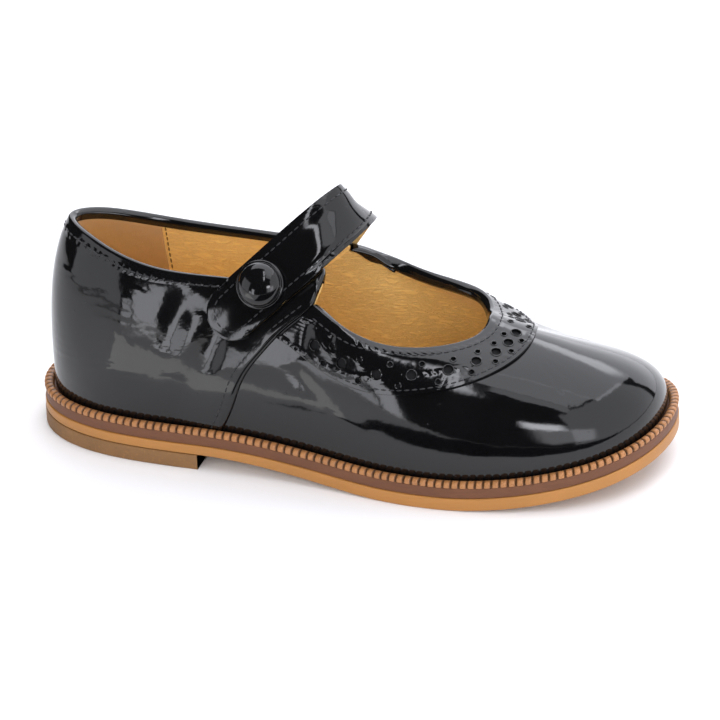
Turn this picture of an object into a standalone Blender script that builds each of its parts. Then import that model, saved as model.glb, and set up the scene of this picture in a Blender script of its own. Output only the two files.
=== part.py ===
"""Child's bar shoe in patent leather, right foot, fastened with a button.

The shoe points along +X with its sole on Z = 0. Its outer side is at -Y and its
inner side at +Y. Every size below is in millimetres, and make_object turns it into
metres. Lengths along the shoe are first measured from the back of the heel, and an
angle runs round the shoe from the back of the heel (0) by the outer side (90) and
the toe (180) to the inner side (270).
"""
import math
from collections import namedtuple
from functools import lru_cache

import bmesh
import bpy
import numpy as np
from mathutils import Matrix, Vector

MM = 0.001
GAP = 0.3                     # air left between pieces that touch
PATENT = (0.012, 0.012, 0.014)
PATENT_ROUGHNESS = 0.12
WELD = 1e-6                   # metres within which a solid's sheets are joined
SHARP = math.radians(40)      # edges sharper than this stay sharp in the shading
ANGLE_NUDGE = 0.1             # small steps, in degrees and in shares of height, that
SHARE_NUDGE = 0.004           # show which way a surface runs

# ---- sole ----
LENGTH = 183.0
END_FULLNESS = 6.8            # power that squares the outline's ends
HEEL_LIFT = 4.6
BREAST = 53.0                 # front face of the heel lift
BALL_START = 112.0            # flat tread under the ball
BALL_END = 124.0
TOE_SPRING = 8.6
SPRING_POWER = 1.9
OUTSOLE_HEEL = 3.0
OUTSOLE_BALL = 3.8
MIDSOLE = 3.2
FEATHER = 3.3                 # the welt reaches this far past the upper

SolePlan = namedtuple("SolePlan", "share half_width middle")
SOLE_PLAN = [
    SolePlan(0.00, 24.6, 0.9),
    SolePlan(0.15, 27.1, 0.6),
    SolePlan(0.32, 27.3, -0.6),
    SolePlan(0.48, 28.8, -1.9),
    SolePlan(0.64, 34.6, -1.1),
    SolePlan(0.78, 35.0, 0.4),
    SolePlan(0.90, 34.6, 3.6),
    SolePlan(1.00, 33.1, 4.1),
]

LAYER_STATIONS = 37           # places along each layer of the sole

# ---- welt ----
RIB_PITCH = 2.3
# Corners of the welt's cross-section, at a rib and in the notch beside it: how far in
# from the sole's edge, and how high above the midsole.
WeltCorner = namedtuple("WeltCorner", "rib_in rib_up notch_in notch_up")
WELT_CORNERS = [
    WeltCorner(0.00, 0.0, 0.40, 0.0),
    WeltCorner(0.30, 1.3, 0.90, 0.7),
    WeltCorner(2.05, 1.6, 2.15, 1.0),
    WeltCorner(2.85, 0.0, 2.85, 0.0),
]

# ---- upper ----
WALL = 2.0
LAP = 1.2                     # height of the quarter's edge over the vamp
LAP_FADE = 13.0               # degrees over which that lap sinks into the quarter
LAP_SINK = 0.12               # share of height over which it sinks towards the sole
UPPER_ROWS = 11
COLLAR_COLUMNS = 22           # round the heel, from ear to ear
EAR_COLUMNS = 4
VAMP_COLUMNS = 38

# One row for each section of the upper. The section leaves the sole's feather line,
# rises by `rise` while it swells out by `bulge`, and comes to the topline from a
# handle that lies `drop` below it and `reach` of the way back to the feather line.
Section = namedtuple("Section", "angle top_x top_y top_z bulge rise reach drop")
SECTIONS = [
    Section(0, 8.9, 1.6, 61.3, 0.1, 15, 1.32, 13.5),
    Section(25, 17.8, -8.9, 60.3, 1.2, 11, 1.13, 13.5),
    Section(50, 41.5, -16.1, 55.5, 2.2, 9, 0.94, 14),
    Section(75, 75.6, -16.3, 54.0, 2.8, 8.5, 0.90, 13),
    Section(95, 92.9, -20.8, 47.2, 3.3, 8, 0.90, 11),
    Section(115, 106.8, -21.9, 41.8, 3.4, 8, 0.86, 7),
    Section(135, 121.4, -18.4, 40.8, 3.4, 9, 0.73, 4.8),
    Section(155, 131.1, -10.8, 41.5, 3.2, 12, 0.63, 5),
    Section(180, 132.6, -1.2, 42.9, 3.0, 16.4, 0.51, 7),
    Section(205, 130.2, 7.2, 41.1, 2.5, 14, 0.40, 12),
    Section(225, 123.0, 17.6, 41.2, 2.4, 11, 0.42, 13.5),
    Section(245, 106.4, 22.8, 42.4, 2.5, 9.5, 0.70, 10.5),
    Section(265, 91.8, 23.4, 47.0, 2.5, 9, 0.87, 11),
    Section(285, 74.0, 17.1, 53.3, 2.3, 9, 0.90, 13),
    Section(310, 40.5, 15.2, 56.0, 1.8, 10, 0.95, 14),
    Section(335, 17.2, 10.6, 59.8, 1.0, 12, 1.16, 13.5),
]

# The quarter's front edge, which the pattern's columns follow: the angle that it
# passes at each share of the way up its section.
SEAM = 80.0                   # the pattern column that becomes the seam
SEAM_SPREAD = 52.0            # degrees over which the other columns follow it
SeamPoint = namedtuple("SeamPoint", "share angle")
SEAM_LINE = [
    SeamPoint(0.00, 68.8),
    SeamPoint(0.30, 72.0),
    SeamPoint(0.50, 73.8),
    SeamPoint(0.65, 76.6),
    SeamPoint(0.80, 80.0),
    SeamPoint(0.90, 83.0),
    SeamPoint(1.00, 86.0),
]
EAR_BACK = 64.0               # pattern column where the ear leaves the collar
OUTER_EAR = 0.24              # how far each ear goes on above the topline
INNER_EAR = 0.05
EAR_REACH = 45.0              # length of ear for each share of height
EAR_LEAN = 0.15               # how far it leans to the toe as it rises
EAR_ROWS = 4
EAR_TUCK = 12.0                # its lean in under the strap, for each share of height

# ---- strap ----
STRAP_WIDTH = 15.0
STRAP_THICK = 2.0
STRAP_LINES = 9               # lengthwise lines across its width
# Where the strap lies on each side, seen from the side: the centre of its round end,
# its slope, the length that rests on the upper, and the pull of its arch along its
# rear and its front edge.
StrapEnd = namedtuple("StrapEnd", "seam x z slope rests rear_pull front_pull")
OUTER_END = StrapEnd(SEAM, 63.7, 47.2, 42.6, 16.0, 45.5, 30.0)
INNER_END = StrapEnd(360 - SEAM, 69.9, 37.6, 56.0, 17.5, 14.0, 22.0)
LAP_STATIONS = 6
ARCH_STATIONS = 12
SEAT_ROUNDS = 12              # rounds that find where the strap touches the upper

# ---- button ----
BUTTON_FROM_END = 10.5        # from the centre of the strap's round end
BUTTON_CLEAR = 0.9            # it is flat and the strap is bent, so it clears it by more
BUTTON_SIDES = 28
# The button's profile: radius and height, from its rim to the top of its dome.
ButtonRing = namedtuple("ButtonRing", "radius height")
BUTTON_RINGS = [
    ButtonRing(0.0, 0.0),
    ButtonRing(6.3, 0.0),
    ButtonRing(6.9, 0.7),
    ButtonRing(6.8, 1.5),
    ButtonRing(5.9, 2.7),
    ButtonRing(4.5, 3.7),
    ButtonRing(2.4, 4.4),
    ButtonRing(0.0, 4.6),
]

# ---- perforated trim round the throat ----
TRIM_WIDTH = 13.0
TRIM_THICK = 0.8
TRIM_CLEAR = 0.4
TRIM_LEAD = 3.3               # pattern degrees between the seam and the trim's end
TRIM_ROWS = 4
TRIM_LOWEST = 0.4             # share of height above which the trim stays
TRIM_STEPS = 61               # steps that measure the way down from the topline
BIG_HOLE = 1.5                # radius
SMALL_HOLE = 0.85             # radius
BIG_HOLE_DEPTH = 8.0          # distance from the topline
SMALL_HOLE_DEPTHS = (5.3, 10.6)
BIG_HOLE_COLUMNS = (88.5, 96, 105, 115, 127.5, 139, 149.5, 159, 169)
HOLE_SIDES = 8
CUTTER_REACH = 3.0            # half the length of a hole's cutter

# ---- insole ----
INSOLE = 2.0
INSOLE_CLEAR = 0.5            # between the insole's edge and the upper's inner face


@lru_cache(maxsize=None)
def spline_bends(knots, values):
    """Second derivatives of the natural cubic spline through the knots."""
    count = len(knots)
    step = np.diff(knots)
    system = np.eye(count)
    right = np.zeros(count)
    for i in range(1, count - 1):
        system[i, i - 1] = step[i - 1]
        system[i, i] = 2 * (step[i - 1] + step[i])
        system[i, i + 1] = step[i]
        slope_after = (values[i + 1] - values[i]) / step[i]
        slope_before = (values[i] - values[i - 1]) / step[i - 1]
        right[i] = 6 * (slope_after - slope_before)
    return np.linalg.solve(system, right)


def spline(knots, values, at):
    """Natural cubic spline through the knots, read at an array of places."""
    bend = spline_bends(tuple(knots), tuple(values))
    knots = np.asarray(knots, float)
    values = np.asarray(values, float)
    i = np.clip(np.searchsorted(knots, at) - 1, 0, len(knots) - 2)
    after = at - knots[i]
    before = knots[i + 1] - at
    width = knots[i + 1] - knots[i]
    cubic = (bend[i] * before ** 3 + bend[i + 1] * after ** 3) / (6 * width)
    linear = (values[i] / width - bend[i] * width / 6) * before
    return cubic + linear + (values[i + 1] / width - bend[i + 1] * width / 6) * after


def table(rows, key, column, at):
    """Column of a table of named rows, read smoothly along its key."""
    return spline([getattr(r, key) for r in rows], [getattr(r, column) for r in rows], at)


def round_table(rows, column, angle):
    """Column of a table that goes once round the shoe, read at any angle."""
    knots = [r.angle + turn for turn in (-360, 0, 360) for r in rows]
    values = [getattr(r, column) for r in rows] * 3
    return spline(knots, values, np.mod(angle, 360))


def smoothstep(value):
    """Eased step from 0 to 1."""
    value = np.clip(value, 0, 1)
    return value * value * (3 - 2 * value)


def unit(vectors):
    return vectors / np.linalg.norm(vectors, axis=-1, keepdims=True)


# ---- the sole's outline and heights ----

def outline(angle):
    """Edge of the sole seen from above."""
    turn = np.cos(np.radians(angle))
    share = (1 - turn) / 2
    spread = np.sqrt(np.maximum(0, 1 - np.abs(turn) ** END_FULLNESS))
    side = np.where(np.mod(angle, 360) <= 180, -1.0, 1.0)
    half = table(SOLE_PLAN, "share", "half_width", share)
    middle = table(SOLE_PLAN, "share", "middle", share)
    return np.stack([LENGTH * share, middle + side * half * spread], -1)


def outward(angle):
    """Horizontal direction that points out of the outline."""
    angle = np.asarray(angle, float)
    along = outline(angle + ANGLE_NUDGE) - outline(angle - ANGLE_NUDGE)
    normal = np.stack([along[..., 1], -along[..., 0]], -1)
    return unit(normal)


def inset_outline(angle, inset):
    return outline(angle) - outward(angle) * inset


def tread(x):
    """Height of the outsole's underside: over the heel lift, arch, ball and toe."""
    arch = smoothstep((BALL_START - x) / (BALL_START - BREAST))
    toe = np.clip((x - BALL_END) / (LENGTH - BALL_END), 0, 1)
    return HEEL_LIFT * arch + TOE_SPRING * toe ** SPRING_POWER


def outsole_top(x):
    grow = smoothstep((x - BREAST) / (BALL_START - BREAST))
    return tread(x) + OUTSOLE_HEEL + (OUTSOLE_BALL - OUTSOLE_HEEL) * grow


def midsole_top(x):
    return outsole_top(x) + MIDSOLE


# ---- the upper's surface ----

def section(angle, share):
    """Outer face of the upper from the sole, at share 0, to the topline, at share 1."""
    angle, share = np.broadcast_arrays(np.asarray(angle, float), np.asarray(share, float))
    foot = inset_outline(angle, FEATHER)
    out = outward(angle)
    row = {c: round_table(SECTIONS, c, angle) for c in Section._fields[1:]}
    top = np.stack([row["top_x"], row["top_y"], row["top_z"]], -1)
    start = np.concatenate([foot, midsole_top(foot[..., :1])], -1)
    first = start.copy()
    first[..., :2] += out * row["bulge"][..., None]
    first[..., 2] += row["rise"]
    second = top.copy()
    second[..., :2] += (foot - top[..., :2]) * row["reach"][..., None]
    second[..., 2] -= row["drop"]
    t = share[..., None]
    s = 1 - t
    return s ** 3 * start + 3 * s * s * t * first + 3 * s * t * t * second + t ** 3 * top


def upper_surface(angle, share):
    """Outer face of the upper, which runs straight on above the topline for the ears."""
    share = np.asarray(share, float)
    across = section(angle + ANGLE_NUDGE, 1) - section(angle - ANGLE_NUDGE, 1)
    normal = unit(np.cross(across, section(angle, 1) - section(angle, 1 - SHARE_NUDGE)))
    lean = np.array([EAR_LEAN, 0, 1])
    upright = unit(lean - normal * (normal @ lean)[..., None])
    above = np.maximum(share - 1, 0)[..., None] * EAR_REACH
    return section(angle, np.minimum(share, 1)) + above * upright


def upper_normal(angle, share):
    """Unit direction out of the upper's outer face."""
    low = np.maximum(share - SHARE_NUDGE, 0)
    across = upper_surface(angle + ANGLE_NUDGE, share) - upper_surface(angle - ANGLE_NUDGE, share)
    up = upper_surface(angle, share + SHARE_NUDGE) - upper_surface(angle, low)
    return unit(np.cross(across, up))


def pattern_angle(column, share):
    """Angle of a pattern column at a share of its height; both seams stay columns."""
    column = np.mod(column, 360)
    shift = table(SEAM_LINE, "share", "angle", np.minimum(share, 1)) - SEAM
    near_outer = np.clip(1 - np.abs(column - SEAM) / SEAM_SPREAD, 0, 1)
    near_inner = np.clip(1 - np.abs(column - (360 - SEAM)) / SEAM_SPREAD, 0, 1)
    return column + shift * (smoothstep(near_outer) - smoothstep(near_inner))


def on_upper(column, share, lift=0):
    """Point of the pattern, `lift` outside the upper's outer face."""
    angle = pattern_angle(column, share)
    return upper_surface(angle, share) + upper_normal(angle, share) * np.asarray(lift)[..., None]


def behind_seam(column):
    """Pattern degrees from the nearer seam back towards the heel."""
    return np.abs(180 - np.mod(column, 360)) - (180 - SEAM)


def quarter_lap(column, share=1.0):
    """Height of the quarter, or of what lies level with it, over the vamp."""
    fade = 1 - smoothstep(behind_seam(column) / LAP_FADE)
    return LAP * fade * smoothstep(share / LAP_SINK)


# ---- making objects ----

def make_material(name, color, roughness):
    material = bpy.data.materials.new(name)
    material.use_nodes = True
    shader = material.node_tree.nodes["Principled BSDF"]
    shader.inputs["Base Color"].default_value = (*color, 1)
    shader.inputs["Roughness"].default_value = roughness
    return material


def placed(points):
    """Points in metres, with the middle of the sole's outline over the origin."""
    edge = outline(np.arange(0, 360, 0.5))
    middle = (edge.max(axis=0) + edge.min(axis=0)) / 2
    return (np.asarray(points) - np.append(middle, 0)) * MM


def finish_mesh(name, build, material):
    """Object of one closed body from a mesh being built."""
    bmesh.ops.remove_doubles(build, verts=build.verts, dist=WELD)
    bmesh.ops.triangulate(build, faces=build.faces)
    bmesh.ops.recalc_face_normals(build, faces=build.faces)
    mesh = bpy.data.meshes.new(name)
    build.to_mesh(mesh)
    build.free()
    mesh.shade_smooth()
    mesh.set_sharp_from_angle(angle=SHARP)
    mesh.materials.append(material)
    shape = bpy.data.objects.new(name, mesh)
    bpy.context.collection.objects.link(shape)
    return shape


def make_solid(name, sheets, material):
    """Closed solid from grids of points in millimetres that meet at their edges."""
    build = bmesh.new()
    for sheet in sheets:
        grid = [[build.verts.new(point) for point in line] for line in placed(sheet)]
        for line, after in zip(grid, grid[1:]):
            for a, b, c, d in zip(line, line[1:], after[1:], after):
                build.faces.new((a, b, c, d))
    return finish_mesh(name, build, material)


def band(first, second):
    """Sheet between two lines of points."""
    return np.stack([first, second])


def slab(inner, outer):
    """Sheets that close the space between two grids of points."""
    edges = [band(inner[0], outer[0]), band(inner[-1], outer[-1])]
    edges += [band(inner[:, 0], outer[:, 0]), band(inner[:, -1], outer[:, -1])]
    return [inner, outer] + edges


# ---- the sole's layers, the welt and the insole ----

def even_angles(count, last):
    """Angles from 0 to `last` that step evenly along the outline."""
    fine = np.arange(0, last + ANGLE_NUDGE, ANGLE_NUDGE)
    steps = np.linalg.norm(np.diff(outline(fine), axis=0), axis=1)
    walked = np.append(0, np.cumsum(steps))
    return np.interp(np.linspace(0, walked[-1], count), walked, fine)


def layer(name, bottom, top, material, inset=0.0, end=LENGTH):
    """Solid between two heights over the outline, cut straight across at `end`."""
    fine = np.arange(0, 180 + ANGLE_NUDGE, ANGLE_NUDGE)
    outer = inset_outline(fine, inset)
    inner = inset_outline(360 - fine, inset)
    x = np.interp(even_angles(LAYER_STATIONS, 180), fine, outer[:, 0])
    for place in (BALL_START, BALL_END, end):
        x[np.abs(x - place).argmin()] = min(place, outer[-1, 0])
    x = x[x <= end]
    sides = [np.interp(x, side[:, 0], side[:, 1]) for side in (outer, inner)]
    low, high = [[np.stack([x, y, height(x)], -1) for y in sides] for height in (bottom, top)]
    return make_solid(name, slab(np.stack(low, 1), np.stack(high, 1)), material)


def make_sole():
    brown = make_material("heel_rubber", (0.16, 0.075, 0.04), 0.6)
    honey = make_material("honey_rubber", (0.62, 0.30, 0.10), 0.5)
    dark = make_material("midsole_board", (0.11, 0.05, 0.03), 0.6)
    layer("heel_lift", np.zeros_like, lambda x: np.full_like(x, HEEL_LIFT - GAP), brown, end=BREAST)
    layer("outsole", tread, lambda x: outsole_top(x) - GAP, honey)
    layer("midsole", outsole_top, lambda x: midsole_top(x) - GAP, dark)


def make_welt():
    """Notched strip on the midsole's edge: a rib, then a notch, all the way round."""
    tan = make_material("welt_leather", (0.42, 0.20, 0.08), 0.5)
    around = np.linalg.norm(np.diff(outline(np.arange(0, 361)), axis=0), axis=1).sum()
    rib = even_angles(2 * round(around / RIB_PITCH) + 1, 360)
    is_notch = np.arange(len(rib)) % 2 == 1
    lines = []
    for corner in WELT_CORNERS + WELT_CORNERS[:1]:
        inset = np.where(is_notch, corner.notch_in, corner.rib_in)
        height = np.where(is_notch, corner.notch_up, corner.rib_up)
        edge = inset_outline(rib, inset[:, None])
        lines.append(np.column_stack([edge, midsole_top(edge[:, 0]) + height]))
    return make_solid("welt", [np.stack(lines)], tan)


def make_insole():
    leather = make_material("insole_leather", (0.62, 0.36, 0.13), 0.6)
    inset = FEATHER + WALL + INSOLE_CLEAR
    return layer("insole", midsole_top, lambda x: midsole_top(x) + INSOLE, leather, inset)


# ---- the upper ----

def wall(column, share, lap):
    """Inner and outer face of a stretch of the upper, as two grids of points."""
    return on_upper(column, share, np.full(share.shape, -WALL)), on_upper(column, share, lap)


def body_wall(columns, is_quarter):
    """Wall from the sole to the topline; its foot is flat on the midsole."""
    column, share = np.meshgrid(columns, np.linspace(0, 1, UPPER_ROWS + 1), indexing="ij")
    inner, outer = wall(column, share, quarter_lap(column, share) * is_quarter)
    inner[:, 0, 2] = midsole_top(inner[:, 0, 0])
    return inner, outer


def ear_sheets(columns, rise):
    """An ear's sheets: it goes on above the topline, highest at the seam."""
    top = rise * smoothstep(1 - behind_seam(columns) / (SEAM - EAR_BACK))
    share = 1 + np.outer(top, np.linspace(0, 1, EAR_ROWS + 1))
    column = np.broadcast_to(columns[:, None], share.shape)
    tuck = EAR_TUCK * (share - 1)
    inner = on_upper(column, share, -WALL - tuck)
    outer = on_upper(column, share, quarter_lap(column) - tuck)
    return [inner, outer, band(inner[:, -1], outer[:, -1]), band(inner[-1], outer[-1])]


def vamp_columns():
    return np.linspace(SEAM, 360 - SEAM, VAMP_COLUMNS + 1)


def make_upper():
    """One hollow solid: the vamp, the quarters that lap over it, and two ears."""
    patent = make_material("upper_patent", PATENT, PATENT_ROUGHNESS)
    ear = np.linspace(EAR_BACK, SEAM, EAR_COLUMNS + 1)
    collar = np.linspace(-EAR_BACK, EAR_BACK, COLLAR_COLUMNS + 1)
    around_heel = np.concatenate([-ear[:0:-1], collar, ear[1:]])
    vamp_in, vamp_out = body_wall(vamp_columns(), 0)
    heel_in, heel_out = body_wall(around_heel, 1)
    sheets = [vamp_in, vamp_out, heel_in, heel_out]
    sheets += [band(vamp_in[:, 0], vamp_out[:, 0]), band(heel_in[:, 0], heel_out[:, 0])]
    sheets += [band(vamp_in[:, -1], vamp_out[:, -1])]
    collar_part = slice(EAR_COLUMNS, -EAR_COLUMNS)
    sheets += [band(heel_in[collar_part, -1], heel_out[collar_part, -1])]
    for quarter_end, vamp_end in ((-1, 0), (0, -1)):
        lapped = heel_out[quarter_end]
        under = vamp_out[vamp_end]
        inside = heel_in[quarter_end, -1]
        sheets += [band(lapped, under), np.array([[inside, lapped[-1]], [inside, under[-1]]])]
    sheets += ear_sheets(ear, OUTER_EAR)
    sheets += ear_sheets(360 - ear, INNER_EAR)
    return make_solid("upper", sheets, patent)


# ---- the strap and its button ----

def strap_seat(column, share):
    return on_upper(column, share, quarter_lap(column) + GAP)


def resting(end, along, across):
    """Points of the strap's underside where it rests, placed by a side view."""
    slope = math.radians(end.slope)
    forward, up = math.cos(slope), math.sin(slope)
    target_x = end.x + along * forward + across * up
    target_z = end.z + along * up - across * forward
    target = np.stack([target_x, target_z], -1)
    column = np.full(np.shape(along + across), end.seam)
    share = np.ones(column.shape)
    for _ in range(SEAT_ROUNDS):
        here = strap_seat(column, share)
        by_column = (strap_seat(column + ANGLE_NUDGE, share) - here) / ANGLE_NUDGE
        by_share = (strap_seat(column, share + SHARE_NUDGE) - here) / SHARE_NUDGE
        slopes = np.stack([by_column, by_share], -1)[..., [0, 2], :]
        step = np.linalg.solve(slopes, (target - here[..., [0, 2]])[..., None])
        column += step[..., 0, 0]
        share += step[..., 1, 0]
    return strap_seat(column, share)


def facing(grid):
    """Unit directions square to a grid of points."""
    return unit(np.cross(np.gradient(grid, axis=1), np.gradient(grid, axis=0)))


def strap_underside():
    """Grid of points under the strap, from its outer end to its inner one."""
    half = STRAP_WIDTH / 2
    across = -half * np.cos(np.linspace(0, math.pi, STRAP_LINES))
    round_end = -np.sqrt(np.maximum(0, half ** 2 - across ** 2))
    laps = []
    pulls = []
    for end in (OUTER_END, INNER_END):
        along = np.linspace(round_end, np.full(STRAP_LINES, end.rests), LAP_STATIONS + 1)
        lap = resting(end, along, across)
        way = lap[-1] - lap[-2]
        pull = end.rear_pull + (end.front_pull - end.rear_pull) * (across + half) / STRAP_WIDTH
        laps.append(lap)
        pulls.append(lap[-1] + way * (pull / np.linalg.norm(way, axis=-1))[:, None])
    t = np.linspace(0, 1, ARCH_STATIONS + 1)[1:-1, None, None]
    s = 1 - t
    arch = s ** 3 * laps[0][-1] + 3 * s * s * t * pulls[0]
    arch = arch + 3 * s * t * t * pulls[1] + t ** 3 * laps[1][-1]
    return np.concatenate([laps[0], arch, laps[1][::-1]])


def make_strap():
    patent = make_material("strap_patent", PATENT, PATENT_ROUGHNESS)
    under = strap_underside()
    return make_solid("strap", slab(under, under + STRAP_THICK * facing(under)), patent)


def make_button():
    """Domed button, square to the strap's face near its round end."""
    patent = make_material("button_patent", PATENT, PATENT_ROUGHNESS)
    build = bmesh.new()
    profile = [build.verts.new((ring.radius * MM, 0, ring.height * MM)) for ring in BUTTON_RINGS]
    edges = [build.edges.new(pair) for pair in zip(profile, profile[1:])]
    bmesh.ops.spin(build, geom=profile + edges, cent=(0, 0, 0), axis=(0, 0, 1),
                   angle=2 * math.pi, steps=BUTTON_SIDES)
    button = finish_mesh("button", build, patent)
    near = np.array([-1.0, 0.0, 1.0])
    patch = resting(OUTER_END, BUTTON_FROM_END + near[:, None], near[None, :])
    normal = facing(patch)[1, 1]
    button.location = placed(patch[1, 1] + normal * (STRAP_THICK + BUTTON_CLEAR))
    button.rotation_euler = Vector(normal).to_track_quat("Z", "Y").to_euler()
    return button


# ---- the perforated trim ----

def share_below(column, depth):
    """Share of height at which a pattern column lies `depth` from the topline."""
    shares = np.linspace(1, TRIM_LOWEST, TRIM_STEPS)
    line = on_upper(np.full(TRIM_STEPS, float(column)), shares)
    topline = on_upper(np.arange(0, 360.0), np.ones(360))
    apart = np.linalg.norm(line[:, None] - topline[None], axis=-1).min(axis=1)
    return np.interp(depth, apart, shares)


def trim_holes():
    """Column, depth and radius of each hole, on both sides of the toe."""
    ends = list(BIG_HOLE_COLUMNS) + [360 - column for column in reversed(BIG_HOLE_COLUMNS)]
    holes = [(column, BIG_HOLE_DEPTH, BIG_HOLE) for column in ends]
    for column, after in zip(ends, ends[1:]):
        holes += [((column + after) / 2, depth, SMALL_HOLE) for depth in SMALL_HOLE_DEPTHS]
    return holes


def make_hole_cutter():
    build = bmesh.new()
    for column, depth, radius in trim_holes():
        share = share_below(column, depth)
        angle = pattern_angle(column, share)
        turn = Vector(upper_normal(angle, share)).to_track_quat("Z", "Y").to_matrix().to_4x4()
        place = Matrix.Translation(placed(on_upper(column, share))) @ turn
        bmesh.ops.create_cone(build, cap_ends=True, segments=HOLE_SIDES, radius1=radius * MM,
                              radius2=radius * MM, depth=2 * CUTTER_REACH * MM, matrix=place)
    mesh = bpy.data.meshes.new("trim_holes")
    build.to_mesh(mesh)
    build.free()
    cutter = bpy.data.objects.new("trim_holes", mesh)
    bpy.context.collection.objects.link(cutter)
    cutter.hide_render = True
    cutter.display_type = "WIRE"
    return cutter


def make_throat_trim():
    """Overlay round the throat, flush with the topline, with its holes cut through."""
    patent = make_material("trim_patent", PATENT, PATENT_ROUGHNESS)
    end = SEAM + TRIM_LEAD
    columns = np.concatenate([[end], vamp_columns()[1:-1], [360 - end]])
    depths = np.linspace(0, TRIM_WIDTH, TRIM_ROWS + 1)
    share = np.stack([share_below(column, depths) for column in columns])
    column = np.broadcast_to(columns[:, None], share.shape)
    under = on_upper(column, share, np.full(share.shape, TRIM_CLEAR))
    over = on_upper(column, share, np.full(share.shape, TRIM_CLEAR + TRIM_THICK))
    trim = make_solid("throat_trim", slab(under, over), patent)
    holes = trim.modifiers.new("holes", "BOOLEAN")
    holes.operation = "DIFFERENCE"
    holes.solver = "EXACT"
    holes.object = make_hole_cutter()
    return trim


def main():
    for shape in list(bpy.data.objects):
        bpy.data.objects.remove(shape)
    make_sole()
    make_welt()
    make_insole()
    make_upper()
    make_throat_trim()
    make_strap()
    make_button()


if __name__ == "__main__":
    main()
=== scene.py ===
"""Looks of a child's bar shoe in patent leather, right foot, fastened with a button.

The shoe points along +X with its sole on Z = 0. Its outer side is at -Y and its
inner side at +Y. Shapes are worked out in millimetres from the back of the heel, and
`placed` turns them into the frame's metres. Angles run round the shoe from the back of
the heel (0) by the outer side (90) and the toe (180) to the inner side (270).
"""
import math
from collections import namedtuple
from functools import lru_cache, partial

import bpy
import numpy as np
from bpy.props import FloatProperty, FloatVectorProperty, PointerProperty
from mathutils import Matrix, Vector


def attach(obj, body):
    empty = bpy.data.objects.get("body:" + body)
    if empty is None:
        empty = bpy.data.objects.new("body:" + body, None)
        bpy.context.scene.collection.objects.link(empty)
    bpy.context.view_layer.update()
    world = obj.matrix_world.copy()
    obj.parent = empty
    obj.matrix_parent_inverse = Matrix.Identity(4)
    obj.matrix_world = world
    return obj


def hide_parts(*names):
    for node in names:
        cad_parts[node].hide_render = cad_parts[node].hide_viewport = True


bl_info = {
    "name": "Child's bar shoe",
    "version": (1, 0, 0),
    "blender": (4, 5, 0),
    "location": "View3D > Sidebar > Bar shoe",
    "description": "Patent bar shoe with a punched throat trim, notched welt and buttoned strap",
    "category": "Add Mesh",
}

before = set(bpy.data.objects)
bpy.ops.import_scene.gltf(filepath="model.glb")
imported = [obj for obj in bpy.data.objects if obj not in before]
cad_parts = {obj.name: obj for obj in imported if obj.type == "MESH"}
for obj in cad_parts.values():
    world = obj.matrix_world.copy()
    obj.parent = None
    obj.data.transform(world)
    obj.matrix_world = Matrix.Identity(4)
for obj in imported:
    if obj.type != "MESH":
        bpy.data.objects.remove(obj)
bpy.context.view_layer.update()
BODY = "root"
MM = 0.001
WELD = 1e-6  # metres within which a piece's own edges are joined
ANGLE_NUDGE = 0.1  # small steps, in degrees and in shares of height, that
SHARE_NUDGE = 0.004  # show which way a surface runs
SMOOTH_ANGLE = 42  # degrees past which an edge stays sharp
BEVEL_ANGLE = 50  # and past which a wall's edge is rounded

# ---- sole ----
LENGTH = 183.0
END_FULLNESS = 6.8  # power that squares the outline's ends
HEEL_LIFT = 4.6
BREAST = 53.0  # front face of the heel lift
BALL_START = 112.0
BALL_END = 124.0
TOE_SPRING = 8.6
SPRING_POWER = 1.9
OUTSOLE_HEEL = 3.0
OUTSOLE_BALL = 3.8
MIDSOLE = 3.2
FEATHER = 3.3  # the welt reaches this far past the upper
LAYER_GAP = 0.1  # air between the sole's layers
SPINE_END = 27.0  # the sole's middle line starts this far from each end
SOLE_SIDES = 300  # steps round each layer
SOLE_FILL = 8  # rings from the middle line to the rounded edge
SOLE_EDGE = 4  # rings over the rounded edge
TREAD_PITCH = 2.4  # from one fine rib under the sole to the next

SolePlan = namedtuple("SolePlan", "share half_width middle")
SOLE_PLAN = [SolePlan(*row) for row in (
    (0.00, 24.6, 0.9), (0.15, 27.1, 0.6), (0.32, 27.3, -0.6),
    (0.48, 28.8, -1.9), (0.64, 34.6, -1.1), (0.78, 35.0, 0.4),
    (0.90, 34.6, 3.6), (1.00, 33.1, 4.1),
)]

# ---- welt ----
RIB_PITCH = 2.3
NOTCH_WIDTH = 0.32  # half of a notch, as a bell's width
WELT_STEPS = 10  # steps along each rib
# Corners of the welt's cross-section, on a rib and in the notch beside it: how far in
# from the sole's edge, and how high above the midsole.
WeltCorner = namedtuple("WeltCorner", "rib_in rib_up notch_in notch_up")
WELT_CORNERS = [WeltCorner(*row) for row in (
    (0.15, 0.00, 0.55, 0.00),
    (0.02, 0.45, 0.58, 0.35),
    (0.08, 0.95, 0.70, 0.65),
    (0.40, 1.40, 1.00, 0.95),
    (0.90, 1.60, 1.45, 1.25),
    (1.50, 1.64, 1.90, 1.48),
    (2.00, 1.58, 2.20, 1.52),
    (2.45, 1.25, 2.50, 1.22),
    (2.70, 0.80, 2.70, 0.80),
    (2.85, 0.00, 2.85, 0.00),
)]

# ---- upper ----
LAP = 1.2  # height of the quarter's edge over the vamp
LAP_FADE = 13.0  # degrees over which that lap sinks into the quarter
LAP_SINK = 0.12  # share of height over which it sinks towards the sole

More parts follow.
